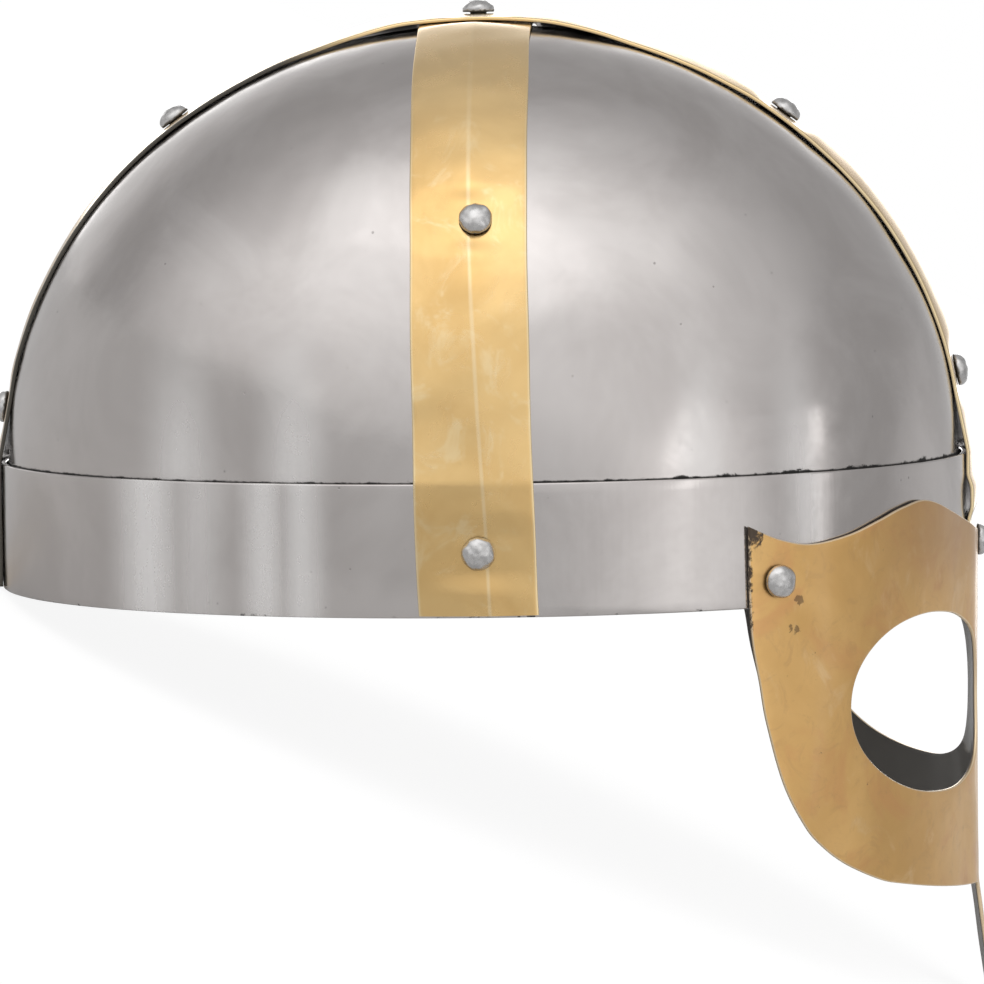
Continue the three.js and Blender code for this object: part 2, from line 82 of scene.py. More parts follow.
# Rivets: piece name, what it holds, end (+1 front or left, -1 rear or right), share of the
# guard's reach, and rise as a share of the dome's rise above the seam or, where negative, of
# the band's height below it.
RIVETS = (
    ("apex", "fore_aft", 1, 0.0, 1.0),
    ("front_upper", "fore_aft", 1, 0.0, 0.775),
    ("front_lower", "fore_aft", 1, 0.0, 0.181),
    ("rear_upper", "fore_aft", -1, 0.0, 0.775),
    ("rear_lower", "fore_aft", -1, 0.0, 0.122),
    ("rear_foot", "fore_aft", -1, 0.0, -0.516),
    ("front_foot", "guard", 0, 0.0, -0.726),
    ("left_upper", "side", 1, 0.0, 0.559),
    ("right_upper", "side", -1, 0.0, 0.559),
    ("left_foot", "side", 1, 0.0, -0.516),
    ("right_foot", "side", -1, 0.0, -0.516),
    ("left_temple", "guard", 1, 0.927, -0.8),
    ("right_temple", "guard", -1, 0.927, -0.8),
)


# Small brown stains on the guard, in millimetres: place round the band from the middle, height
# from the seam, and size.
GUARD_STAINS = ((-94.4, -29.4, 1.3), (-95.3, -36.4, 0.9), (-97.2, -36.2, 0.8), (-88.4, -66, 0.45))

# Painted reflections: pale upright streaks in the steel's colour, also rougher and less metallic,
# which stand in for the pale upright reflections in the photo. They are the same on both sides and
# stay where they are in any light.
# In millimetres: place from the middle to the rear, half width and strength.
BAND_PAINTED_REFLECTIONS = ((78, 12, 0.95), (66, 10, 0.5), (50, 8, 0.8), (41, 8, 0.75), (-76, 7, 0.5))
DOME_PAINTED_REFLECTIONS = ((70, 12, 0.7), (43, 11, 0.7), (-52, 9, 0.4), (-74, 8, 0.5))

# Soft glows of the studio round the helmet, in degrees from the camera's side and over the
# seam: azimuth, elevation, full within, gone beyond, and brightness, which may be taken away.
STUDIO_GREY = 0.45
GLOWS = (
    (0, 35, 15, 90, 0.50),
    (30, 60, 3, 30, 0.27),
    (-30, 58, 3, 32, 0.32),
    (-76, 32, 3, 30, 0.14),
    (-165, -5, 8, 55, 0.40),
    (181, 3, 9, 26, 2.4),
    (46, -6, 3, 22, 0.28),
    (-5, -10, 8, 40, -0.24),
    (128, -10, 4, 26, 0.14),
)

# Softboxes: name, azimuth, elevation, width, height and brightness of the face.
SOFTBOXES = (
    ("key_softbox", 0, 58, 2.4, 1.4, 0.22),
    ("front_strip", 42, 4, 0.3, 0.9, 0.5),
    ("front_far_strip", 75, -1, 0.22, 1.0, 1.15),
    ("rear_strip", -37, 8, 0.3, 0.8, 0.4),
)


def length_prop(name, description, default):
    return FloatProperty(
        name=name, description=description, default=default, unit="LENGTH", precision=5
    )


def colour_prop(name, description, default):
    return FloatVectorProperty(
        name=name, description=description, default=default, subtype="COLOR", size=3, min=0, max=1
    )


def angle_prop(name, description, degrees):
    return FloatProperty(
        name=name, description=description, default=math.radians(degrees), subtype="ANGLE"
    )


def number_prop(name, description, default):
    return FloatProperty(name=name, description=description, default=default)


class SkullSizes(bpy.types.PropertyGroup):
    """Sizes of the dome and the brow band."""

    band_half_length: length_prop("Band half length", "Half of the band, front to rear", 0.1192)
    band_half_width: length_prop("Band half width", "Half of the band, side to side", 0.1)
    band_height: length_prop("Band height", "Height of the band below the seam", 0.031)
    band_steel: length_prop("Band steel", "Thickness of the band", 0.0012)
    dome_rise: length_prop("Dome rise", "Height of the dome above the seam", 0.1065)
    dome_steel: length_prop("Dome steel", "Thickness of the dome", 0.0012)
    dome_tuck: length_prop("Dome tuck", "How far the dome reaches down inside the band", 0.0285)
    dome_inset: length_prop("Dome inset", "How far the dome draws in from its tucked edge", 0.0003)
    tuck_bend: length_prop("Tuck bend", "Depth at which the tucked edge turns straight", 0.007)
    fit_gap: length_prop("Fit gap", "Gap between sheets", 0.0003)
    planishing: length_prop("Planishing", "Height of the soft waves left by the hammer", 0.00012)


class StrapSizes(bpy.types.PropertyGroup):
    """Sizes of the two crossing straps."""

    width: length_prop("Width", "Width of a strap", 0.0275)
    sheet: length_prop("Sheet", "Thickness of a strap", 0.0009)
    crease: length_prop("Crease", "Rise of the middle crease", 0.001)
    foot_rise: length_prop("Foot rise", "How far a strap ends above the band's lower edge", 0.0006)
    leave_height: length_prop("Leave height", "Height at which a strap leaves the dome", 0.017)
    flatten_ramp: length_prop("Flattening", "Length over which the crease fades at a rivet", 0.006)
    crossing_margin: length_prop("Crossing margin", "Flat length past the crossing", 0.003)
    crossing_ramp: length_prop("Crossing ramp", "Length of the ramp down from the crossing", 0.024)
    side_bow: length_prop("Side bow", "How far the side strap bows to the rear", 0.0017)
    crease_drift: length_prop("Crease drift", "How far its crease drifts to the front", 0.003)
    front_bow: length_prop("Front bow", "How far the front foot stands off the band", 0.0009)
    crease_swing: number_prop("Crease swing", "How much the upper crease gains ahead and loses behind", 0.6)
    wave: length_prop("Wave", "Height of the soft waves of a strap's face", 0.00005)
    edge_wave: length_prop("Edge wave", "How far the edges of a strap wander", 0.00012)


class GuardSizes(bpy.types.PropertyGroup):
    """Sizes of the eye guard and its nasal."""

    sheet: length_prop("Sheet", "Thickness of the guard", 0.001)
    reach: length_prop("Reach", "Length round the band from the middle to a temple", 0.108)
    drop: length_prop("Drop", "Depth of the lower edge below the seam", 0.106)
    eye_reach: length_prop("Eye reach", "Length round the band to the middle of an eye", 0.0444)
    eye_drop: length_prop("Eye drop", "Depth of the middle of an eye", 0.0579)
    eye_length: length_prop("Eye length", "Length of an eye opening", 0.0686)
    eye_height: length_prop("Eye height", "Height of an eye opening", 0.0432)
    eye_tilt: angle_prop("Eye tilt", "Rise of an eye to the temple", 5.3)
    nose_fullness: number_prop("Nose fullness", "Squareness of an eye at the nose; 2 is an ellipse", 2.5)
    temple_fullness: number_prop("Temple fullness", "Squareness of an eye at the temple", 2.1)
    nasal_width: length_prop("Nasal width", "Width of the nasal at its root", 0.02)
    nasal_tip_width: length_prop("Nasal tip width", "Width of the nasal at its tip", 0.016)
    nasal_drop: length_prop("Nasal drop", "Depth of the nasal's tip below the seam", 0.138)
    nasal_corner: length_prop("Nasal corner", "Rounding of the nasal's corners", 0.004)
    nasal_lean: angle_prop("Nasal lean", "Lean of the nasal to the front", 7)
    ramp: length_prop("Ramp", "Length of the guard's ramp off the front strap", 0.016)
    far_trim: length_prop("Far trim", "How much further forward the left rear edge lies", 0.0022)
    wave: length_prop("Wave", "Height of the long waves of the guard's face", 0.00009)
    fine_wave: length_prop("Fine wave", "Height of its short waves", 0.00004)


class RivetSizes(bpy.types.PropertyGroup):
    """Sizes of the rivets."""

    head_diameter: length_prop("Head diameter", "Diameter of a head", 0.0078)
    head_height: length_prop("Head height", "Height of a head", 0.003)
    head_edge: length_prop("Head edge", "Height of the upright edge of a head", 0.0006)
    shank_diameter: length_prop("Shank diameter", "Diameter of a shank", 0.004)
    tail_diameter: length_prop("Tail diameter", "Diameter of a hammered tail", 0.0064)
    tail_height: length_prop("Tail height", "Height of a hammered tail", 0.0012)
    tail_gap: length_prop("Tail gap", "Gap between the tail and the dome", 0.0006)
    dent: length_prop("Dent", "Depth of the hammer marks on a head", 0.00005)


class FinishColours(bpy.types.PropertyGroup):
    """Colours of the metals, of the dirt on them and of the painted shade at seams and rivet heads."""

    steel_light: colour_prop("Light steel", "Polished steel", (0.635, 0.60, 0.585))
    steel_dark: colour_prop("Dark steel", "Steel where the polish is thin", (0.55, 0.515, 0.50))
    strap_light: colour_prop("Light strap brass", "Polished golden brass", (0.84, 0.575, 0.25))
    strap_dark: colour_prop("Dark strap brass", "Handled golden brass", (0.72, 0.46, 0.175))
    guard_light: colour_prop("Light guard brass", "Brown brass", (0.87, 0.545, 0.21))
    guard_dark: colour_prop("Dark guard brass", "Brown brass, duller", (0.76, 0.455, 0.16))
    rivet_steel: colour_prop("Rivet steel", "Dull hammered steel", (0.66, 0.65, 0.645))
    # This black is also painted shade, in the seam's gap and round the foot of each rivet head.
    grime_and_shade: colour_prop("Grime", "Black dirt in the seams", (0.012, 0.011, 0.010))
    tarnish: colour_prop("Tarnish", "Brown tarnish on the guard", (0.07, 0.042, 0.022))


class StageSettings(bpy.types.PropertyGroup):
    """Viewing angle, distance and light."""

    azimuth: angle_prop("Azimuth", "Turn of the camera from square on, to the front", 0.87)
    elevation: angle_prop("Elevation", "Height of the camera over the seam", 3.95)
    roll: angle_prop("Roll", "Roll of the camera", 0.71)
    distance: length_prop("Distance", "Distance from the middle of the helmet", 1.4)
    aim_right: length_prop("Aim right", "How far right of the middle the camera aims", 0.00203)
    aim_up: length_prop("Aim up", "How far over the middle the camera aims", -0.00939)
    picture_side: IntProperty(name="Picture side", description="Side of the picture in pixels", default=984)
    pixels_per_metre: number_prop("Picture scale", "Pixels for a metre at the helmet", 4036)
    light_scale: number_prop("Light", "Strength of all the lights", 1.0)
    floor_half: length_prop("Floor", "Half of the floor's side", 15.0)


# Shapes


def helmet_place():
    """Where the upright helmet goes: leaned back about X, then set down, as the record's rim says."""
    rim = next(mount for mount in frame["record"]["mounts"] if mount["name"] == "brow_rim")
    facing = Vector(rim["axis"])
    lean = Matrix.Rotation(math.atan2(facing.y, -facing.z), 4, "X")
    return Matrix.Translation(Vector(rim["pos_m"]) - lean @ RIM_POINT) @ lean


PLACE = helmet_place()


def smooth_step(start, end, value):
    share = np.clip((value - start) / (end - start), 0, 1)
    return share * share * (3 - 2 * share)


def swell(points, wavelength, seed, count=18):
    """Smooth random waves of about unit height at each point, summed from plane waves."""
    rng = np.random.default_rng(seed)
    heading = rng.normal(size=(count, 3))
    heading /= np.linalg.norm(heading, axis=1, keepdims=True)
    pace = 2 * math.pi / wavelength * (0.7 + 0.6 * rng.random(count))
    phase = 2 * math.pi * rng.random(count)
    flat = np.asarray(points).reshape(-1, 3)
    waves = np.sin((flat @ heading.T) * pace + phase).sum(axis=1) * math.sqrt(2 / count)
    return waves.reshape(np.shape(points)[:-1])


def faces_inward(points, faces):
    """True if a closed body's faces point in, from its signed volume."""
    corners = [(face[0], face[turn], face[turn + 1]) for face in faces for turn in range(1, len(face) - 1)]
    first, second, third = (points[index] for index in np.array(corners).T)
    return np.sum(first * np.cross(second, third)) < 0


def grid_faces(rows, columns, close_rows, close_columns):
    """Quads between the points of a grid stored row by row."""
    row_count = rows if close_rows else rows - 1
    column_count = columns if close_columns else columns - 1
    row, column = np.meshgrid(np.arange(row_count), np.arange(column_count), indexing="ij")
    here, below, beside = row * columns, (row + 1) % rows * columns, (column + 1) % columns
    corners = [here + column, here + beside, below + beside, below + column]
    return np.stack(corners, axis=-1).reshape(-1, 4).tolist()


def turned(half_width, half_length, height, sides):
    """Elliptical rings round +Z: a row of points for each half width, half length and height."""
    turn = np.linspace(0, 2 * math.pi, sides, endpoint=False)
    level = [np.outer(half_width, np.cos(turn)), np.outer(half_length, np.sin(turn))]
    return np.stack([*level, np.repeat(height[:, None], sides, 1)], axis=-1)


def make_piece(name, node, points, faces, material, sheet=None, crease=None):
    """Adds one piece in its resting place, in place of a solid of the frame.

    Its points keep their upright place, in millimetres, for the material. sheet holds each
    point's own place on the flat sheet: along, across and above its under face. crease holds
    how far each point lies to a side of a strap's crease.
    """
    points = np.asarray(points, dtype=float)
    if faces_inward(points, faces):
        faces = [face[::-1] for face in faces]
    turn, shift = np.array(PLACE.to_3x3()), np.array(PLACE.translation)
    mesh = bpy.data.meshes.new(name)
    mesh.from_pydata((points @ turn.T + shift).tolist(), [], faces)
    layers = {"upright": points, "sheet": points if sheet is None else sheet}
    if crease is not None:
        layers["crease"] = crease
    for label, values in layers.items():
        layer = mesh.attributes.new(label, "FLOAT_VECTOR", "POINT")
        layer.data.foreach_set("vector", (np.asarray(values) / MILLIMETRE).astype(np.float32).ravel())
    mesh.shade_smooth()
    mesh.set_sharp_from_angle(angle=math.radians(50))
    mesh.materials.append(material)
    piece = bpy.data.objects.new(name, mesh)
    bpy.context.scene.collection.objects.link(piece)
    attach(piece, "root")
    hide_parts(node)
    return piece


def ledge(skull):
    """How far the band's outer face stands out from the dome's."""
    return skull.band_steel + skull.fit_gap + skull.dome_inset


def dome_points(skull, sides, rows):
    """Rings of the dome's outer face from the top down, then of its inner face back up."""
    half_length = skull.band_half_length - ledge(skull)
    half_width = skull.band_half_width - ledge(skull)
    climbs = np.linspace(math.pi / 2, 0, rows + 1)[1:]
    skirt = np.linspace(0, -skull.dome_tuck, 10)[1:]
    rings = []
    for wall in (0.0, skull.dome_steel):
        face = []
        for climb in climbs:
            around, height = math.cos(climb), (skull.dome_rise - wall) * math.sin(climb)
            face.append(((half_width - wall) * around, (half_length - wall) * around, height))
        for height in skirt:
            flare = skull.dome_inset * min(1, -height / skull.tuck_bend) - wall
            face.append((half_width + flare, half_length + flare, height))
        rings += face if wall == 0 else face[::-1]
    points = turned(*np.array(rings).T, sides)
    normal = points / np.array([half_width, half_length, skull.dome_rise]) ** 2
    normal[..., 2] = np.maximum(normal[..., 2], 0)
    normal /= np.linalg.norm(normal, axis=-1, keepdims=True)
    waves = swell(points, 0.07, 3) + 0.45 * swell(points, 0.028, 4) + 0.12 * swell(points, 0.011, 5)
    fade = 0.35 + 0.65 * smooth_step(0, 0.02, points[..., 2])
    return points + normal * (waves * fade * skull.planishing)[..., None]


def band_points(skull, sides):
    """Rings round the band's section: outer face up, over the top edge, and back down inside."""
    edge = 0.00035
    quarter = np.linspace(0, math.pi / 2, 5)
    rounding = [(edge * (1 - math.cos(turn)), edge * (1 - math.sin(turn))) for turn in quarter]
    section = []
    for height in np.linspace(-skull.band_height + edge, -edge, 15):
        section.append((0.0, height))
    section += [(inward, -down) for inward, down in rounding[1:]]
    section += [(skull.band_steel - inward, -down) for inward, down in rounding[::-1]]
    for height in np.linspace(-edge, -skull.band_height + edge, 7)[1:]:
        section.append((skull.band_steel, height))
    section += [(skull.band_steel - inward, down - skull.band_height) for inward, down in rounding[1:]]
    section += [(inward, down - skull.band_height) for inward, down in rounding[::-1][:-1]]
    inward, height = np.array(section).T
    points = turned(skull.band_half_width - inward, skull.band_half_length - inward, height, sides)
    upright = points * np.array([1, 1, 0.12])
    waves = swell(upright, 0.05, 11) + 0.4 * swell(upright, 0.018, 12) + 0.3 * swell(points, 0.03, 13)
    normal = points[0] / np.array([skull.band_half_width, skull.band_half_length, math.inf]) ** 2
    normal /= np.linalg.norm(normal, axis=-1, keepdims=True)
    return points + normal * (0.6 * waves * skull.planishing)[..., None]


def strap_route(reach, rise):
    """Middle line of a strap from the top: lengths, places and outward directions."""
    climb = np.linspace(math.pi / 2, 0, 1201)
    level, height = reach * np.cos(climb), rise * np.sin(climb)
    steps = np.hypot(np.diff(level), np.diff(height))
    out = np.stack([np.cos(climb) / reach, np.sin(climb) / rise])
    out /= np.linalg.norm(out, axis=0)
    return {"length": np.concatenate([[0], np.cumsum(steps)]), "level": level, "height": height, "out": out}


def route_at(route, distance):
    """Level, height and outward direction at distances from the top. Below the seam it drops straight."""
    seam = route["length"][-1]
    inside = np.minimum(distance, seam)
    place = [np.interp(inside, route["length"], route[key]) for key in ("level", "height")]
    out = [np.interp(inside, route["length"], axis) for axis in route["out"]]
    return place[0], place[1] - np.maximum(distance - seam, 0), out[0], out[1]


def route_length(route, height):
    if height <= 0:
        return route["length"][-1] - height
    return float(np.interp(-height, -route["height"], route["length"]))


def rivet_height(skull, rise):
    return rise * (skull.dome_rise if rise > 0 else skull.band_height)


def strap_lay(scene, name):
    """Everything that places a strap: its route, its axes and where its crease is flat."""
    skull, strap, guard = scene.helmet_skull, scene.helmet_straps, scene.helmet_guard
    half_length = skull.band_half_length - ledge(skull)
    half_width = skull.band_half_width - ledge(skull)
    is_upper = name == "fore_aft"
    route = strap_route(half_length if is_upper else half_width, skull.dome_rise)
    flats = []
    for _, holds, end, _, rise in RIVETS:
        if holds == name:
            centre = end * route_length(route, rivet_height(skull, rise))
            flats.append((centre, scene.helmet_rivets.head_diameter / 2))
    if is_upper:
        top = TOP_EDGE[-1][1] * guard.drop
        half = (skull.band_height + strap.flatten_ramp - top) / 2
        flats.append((route_length(route, -top) - strap.crossing_margin + half, half))
    else:
        flats.append((0.0, strap.width / 2 + skull.fit_gap))
    return {
        "route": route,
        "side_half": half_width if is_upper else half_length,
        "along": np.array([0, -1, 0]) if is_upper else np.array([1, 0, 0]),
        "across": np.array([1, 0, 0]) if is_upper else np.array([0, 1, 0]),
        "is_upper": is_upper,
        "flats": flats,
    }


def strap_stand(skull, strap, lay, distance, height, across=0.0):
    """Height of a strap's under face over the dome, less the fit gap.

    The upper strap rides over the other one, and past the crossing its far edge droops.
    """
    stand = ledge(skull) * np.maximum(0, 1 - np.maximum(height, 0) / strap.leave_height) ** 2
    if lay["is_upper"]:
        start = strap.width / 2 + strap.crossing_margin
        over = (strap.sheet + skull.fit_gap) * (1 - smooth_step(start, start + strap.crossing_ramp, distance))
        past = smooth_step(strap.width / 2 - 0.0002, strap.width / 2 + 0.0014, distance)
        stand = stand + over * (1 - 0.95 * past * np.maximum(0, 2 * across / strap.width) ** 1.5)
    return stand


def strap_section(strap):
    """Closed section of a strap: place across, and height over the under face."""
    half, edge = strap.width / 2, 0.00032
    flat, rise = half - edge, strap.sheet - edge
    bends = [(edge * math.sin(turn), edge * math.cos(turn)) for turn in np.linspace(0, math.pi / 2, 5)]
    top = np.concatenate([[-1, -0.93], np.linspace(-0.86, -0.14, 11), [-0.08, -0.045, -0.02, 0]])
    top = np.concatenate([top, -top[::-1][1:]]) * flat
    section = [(across, strap.sheet) for across in top]
    section += [(flat + sine, rise + cosine) for sine, cosine in bends[1:]]
    section += [(flat + cosine, edge - sine) for sine, cosine in bends]
    section += [(across, 0.0) for across in np.linspace(0.86, -0.86, 13) * half]
    section += [(-flat - sine, edge - cosine) for sine, cosine in bends]
    section += [(-flat - cosine, rise + sine) for sine, cosine in bends[:-1]]
    return np.array(section)


def strap_points(scene, name, lengths):
    """Grid of a strap's points: a section at each length from the top."""
    skull, strap = scene.helmet_skull, scene.helmet_straps
    lay = strap_lay(scene, name)
    section = strap_section(strap)
    length, across = np.meshgrid(lengths, section[:, 0], indexing="ij")
    lift = np.broadcast_to(section[:, 1], length.shape)
    distance = np.abs(length)
    share = distance / distance.max()
    level, height, out_level, out_height = route_at(lay["route"], distance)
    bow, drift = 0.0, 0.0
    if not lay["is_upper"]:
        bow = strap.side_bow * np.sin(math.pi * share) ** 0.7
        drift = strap.crease_drift * smooth_step(0.5, 1.0, share)
    half = strap.width / 2
    blunt = 0.0004
    from_crease = across + drift * (1 - np.abs(across) / half)
    crease = strap.crease * (1 - (np.sqrt(from_crease**2 + blunt**2) - blunt) / half)
    for centre, flat in lay["flats"]:
        crease = crease * smooth_step(flat, flat + strap.flatten_ramp, np.abs(length - centre))
    aside = across + bow
    fall = (1 - np.sqrt(1 - (aside / lay["side_half"]) ** 2)) * (level * out_level + height * out_height)
    out = skull.fit_gap + strap_stand(skull, strap, lay, distance, height, across) + lift + crease - fall
    if lay["is_upper"]:
        ahead = smooth_step(0.03, 0.06, length) * smooth_step(0.0, 0.02, height)
        behind = smooth_step(-0.03, -0.06, length)
        out = out + strap.crease_swing * crease * (ahead - behind)
        off = smooth_step(-0.005, -0.009, height) * smooth_step(-0.0175, -0.013, height)
        out = out + strap.front_bow * off * (length > 0)
    flat_place = np.stack([length, across, np.zeros_like(length)], axis=-1)
    seed = 21 if lay["is_upper"] else 31
    waves = swell(flat_place, 0.03, seed) + 0.5 * swell(flat_place, 0.012, seed + 1)
    out = out + strap.wave * waves
    wander = swell(flat_place * np.array([1, 0, 0]), 0.035, seed + 2)
    aside = aside + strap.edge_wave * wander * np.sign(across)
    places = (
        (np.sign(length) * (level + out_level * out))[..., None] * lay["along"]
        + aside[..., None] * lay["across"]
        + (height + out_height * out)[..., None] * np.array([0, 0, 1])
    )
    sheet = np.stack([length, across, np.broadcast_to(lift, length.shape)], axis=-1)
    from_line = np.stack([from_crease, length, lift], axis=-1)
    return places, sheet, from_line


def band_at(skull, length):
    """Place and outward direction on the band's outer face at lengths round from the front."""
    turn = np.linspace(0, math.pi / 2, 1201)
    line = np.stack([skull.band_half_width * np.sin(turn), skull.band_half_length * np.cos(turn)])
    run = np.concatenate([[0], np.cumsum(np.hypot(*np.diff(line, axis=1)))])
    around = np.sign(length) * np.interp(np.abs(length), run, turn)
    share = np.stack([np.sin(around), -np.cos(around)], axis=-1)
    half = np.array([skull.band_half_width, skull.band_half_length])
    out = share / half
    return share * half, out / np.linalg.norm(out, axis=-1, keepdims=True)


def guard_stand(scene, length):
    """Height of the guard's under face over the band."""
    skull, strap = scene.helmet_skull, scene.helmet_straps
    start = strap.width / 2 + skull.fit_gap
    off_strap = smooth_step(start, start + scene.helmet_guard.ramp, np.abs(length))
    return skull.fit_gap + (strap.sheet + skull.fit_gap) * (1 - off_strap)


def curve_through(rows, steps):
    """Smooth curve through points, evenly stepped between each two."""
    rows = np.asarray(rows, dtype=float)
    ends = np.concatenate([rows[:1], rows, rows[-1:]])
    share = np.arange(steps)[:, None] / steps
    curve = []
    for before, start, end, after in zip(ends, ends[1:], ends[2:], ends[3:]):
        first, last = (end - before) / 2, (after - start) / 2
        curve.append(
            (2 * start - 2 * end + first + last) * share**3
            + (-3 * start + 3 * end - 2 * first - last) * share**2
            + first * share
            + start
        )
    return np.concatenate(curve + [rows[-1:]])


def corner_curve(start, control, end, steps):
    share = np.linspace(0, 1, steps + 1)[:, None]
    return (1 - share) ** 2 * start + 2 * share * (1 - share) * control + share**2 * end


def guard_outline(guard):
    """Closed outline of the flat guard, counted round from the middle of its top edge."""
    scale = np.array([guard.reach, -guard.drop])
    top = curve_through(TOP_EDGE, 14)[::-1] * scale
    lower = curve_through(LOWER_EDGE, 12) * scale
    root, tip = guard.nasal_width / 2, guard.nasal_tip_width / 2
    side_top, side_end = -guard.drop - guard.nasal_corner, guard.nasal_corner - guard.nasal_drop
    into_nasal = corner_curve(lower[-1], np.array([root, -guard.drop]), np.array([root, side_top]), 8)
    side = np.linspace([root, side_top], [tip, side_end], 34)
    tip_corner = np.array([tip, -guard.nasal_drop])
    corner = corner_curve(side[-1], tip_corner, tip_corner - np.array([guard.nasal_corner, 0]), 8)
    bottom = np.linspace(corner[-1], [0, -guard.nasal_drop], 6)
    half = np.concatenate([top, lower[1:], into_nasal[1:], side[1:], corner[1:], bottom[1:]])
    mirrored = half[1:-1][::-1] * np.array([-1, 1])
    return np.concatenate([half, mirrored])


def eye_outline(guard, side):
    turn = np.linspace(0, 2 * math.pi, 240, endpoint=False)
    fullness = np.where(np.cos(turn) > 0, guard.temple_fullness, guard.nose_fullness)
    across = guard.eye_length / 2 * np.sign(np.cos(turn)) * np.abs(np.cos(turn)) ** (2 / fullness)
    up = guard.eye_height / 2 * np.sign(np.sin(turn)) * np.abs(np.sin(turn)) ** (2 / fullness)
    cos, sin = math.cos(guard.eye_tilt), math.sin(guard.eye_tilt)
    reach = guard.eye_reach + across * cos - up * sin
    height = -guard.eye_drop + across * sin + up * cos
    return np.stack([side * reach, height], axis=-1)


def even_loop(loop, spacing):
    """The same loop with points left out where they stand closer than a spacing."""
    kept = [loop[0]]
    for point in loop[1:]:
        if np.linalg.norm(point - kept[-1]) > spacing:
            kept.append(point)
    if np.linalg.norm(kept[-1] - kept[0]) < spacing:
        kept.pop()
    return np.array(kept)


def inset_loop(loop, distance):
    """The loop moved to the left of its run by a distance, with its corners kept."""
    quarter_turn = np.array([[0, 1], [-1, 0]])
    runs = (loop - np.roll(loop, 1, axis=0), np.roll(loop, -1, axis=0) - loop)
    sides = [run @ quarter_turn / np.linalg.norm(run, axis=1, keepdims=True) for run in runs]
    middle = sides[0] + sides[1]
    middle /= np.maximum(np.linalg.norm(middle, axis=1, keepdims=True), 1e-9)
    spread = np.maximum((middle * sides[0]).sum(axis=1, keepdims=True), 0.6)
    return loop + middle * distance / spread


def loop_area(loop):
    after = np.roll(loop, -1, axis=0)
    return 0.5 * np.sum(loop[:, 0] * after[:, 1] - after[:, 0] * loop[:, 1])


def inside_loop(points, loop):
    """True for each point that lies inside a closed loop."""
    after = np.roll(loop, -1, axis=0)
    inside = np.zeros(len(points), dtype=bool)
    for start, end in zip(loop, after):
        if start[1] == end[1]:
            continue
        crosses = (points[:, 1] < start[1]) != (points[:, 1] < end[1])
        reach = start[0] + (points[:, 1] - start[1]) * (end[0] - start[0]) / (end[1] - start[1])
        inside ^= crosses & (points[:, 0] < reach)
    return inside


def guard_sheet(guard):
    """Flat guard cut into triangles: points, triangles, boundary loops and distance from an edge."""
    spacing = 0.00055
    outline = even_loop(guard_outline(guard), spacing)
    if loop_area(outline) < 0:
        outline = outline[::-1]
    eyes = [even_loop(eye_outline(guard, side), spacing) for side in (1, -1)]
    eyes = [eye[::-1] if loop_area(eye) > 0 else eye for eye in eyes]
    insets = (0.0, 0.0001, 0.00025, 0.00045)
    points, depths, edges, borders = [], [], [], []
    count = 0
    for loop in (outline, *eyes):
        for inset in insets:
            ring = inset_loop(loop, inset) if inset else loop
            index = np.arange(len(ring)) + count
            edges += list(zip(index.tolist(), np.roll(index, -1).tolist()))
            if not inset:
                borders.append(index)
            points.append(ring)
            depths.append(np.full(len(ring), inset))
            count += len(ring)
    low, high = outline.min(axis=0), outline.max(axis=0)
    step = 0.002
    across, up = np.meshgrid(np.arange(low[0], high[0], step), np.arange(low[1], high[1], step * 0.87))
    across[1::2] += step / 2
    grid = np.stack([across.ravel(), up.ravel()], axis=-1)
    keep = inside_loop(grid, outline)
    for eye in eyes:
        keep &= ~inside_loop(grid, eye)
    grid = grid[keep]
    rim = np.concatenate([outline, *eyes])
    clear = np.array([np.min(np.sum((rim - point) ** 2, axis=1)) for point in grid]) > 0.0011**2
    points.append(grid[clear])
    depths.append(np.full(int(clear.sum()), insets[-1]))
    points, depths = np.concatenate(points), np.concatenate(depths)
    cut = delaunay_2d_cdt([Vector(point) for point in points], edges, [], 1, 1e-7)
    flat = np.array([list(vertex) for vertex in cut[0]])
    origin = [sources[0] for sources in cut[3]]
    if len(flat) != len(points) or any(len(sources) != 1 for sources in cut[3]):
        raise RuntimeError("the guard's outline crosses itself")
    place = np.empty(len(points), dtype=int)
    place[origin] = np.arange(len(flat))
    triangles = np.array([face for face in cut[2]])
    centres = flat[triangles].mean(axis=1)
    solid = inside_loop(centres, outline)
    for eye in eyes:
        solid &= ~inside_loop(centres, eye)
    return flat, triangles[solid], [place[border] for border in borders], depths[origin], insets


def guard_points(scene, flat, lift):
    """Wraps flat points round the band, with the nasal leaning to the front."""
    guard = scene.helmet_guard
    place, out = band_at(scene.helmet_skull, flat[:, 0])
    level = place + out * (guard_stand(scene, flat[:, 0]) + lift)[:, None]
    below = np.maximum(0, -flat[:, 1] - guard.drop)
    lean = below * math.tan(guard.nasal_lean)
    return np.stack([level[:, 0], level[:, 1] - lean, flat[:, 1]], axis=-1)


def rivet_seat(scene, holds, end, reach, rise):
    """Place, outward direction, and distance to the outermost sheet and the inner face."""
    skull, strap, guard = scene.helmet_skull, scene.helmet_straps, scene.helmet_guard
    height = rivet_height(skull, rise)
    if holds == "guard":
        length = np.array([end * reach * guard.reach])
        place, out = band_at(skull, length)
        outer = float(guard_stand(scene, length)[0]) + guard.sheet
        inner = skull.band_steel + skull.fit_gap + skull.dome_steel
        return np.array([*place[0], height]), np.array([*out[0], 0]), outer, inner
    lay = strap_lay(scene, holds)
    distance = route_length(lay["route"], height)
    level, high, out_level, out_height = (float(value) for value in route_at(lay["route"], distance))
    place = lay["along"] * end * level + np.array([0, 0, high])
    out = lay["along"] * end * out_level + np.array([0, 0, out_height])
    outer = skull.fit_gap + float(strap_stand(skull, strap, lay, distance, height)) + strap.sheet
    inner = skull.dome_steel - (skull.dome_inset if height < 0 else 0)
    return place, out, outer, inner


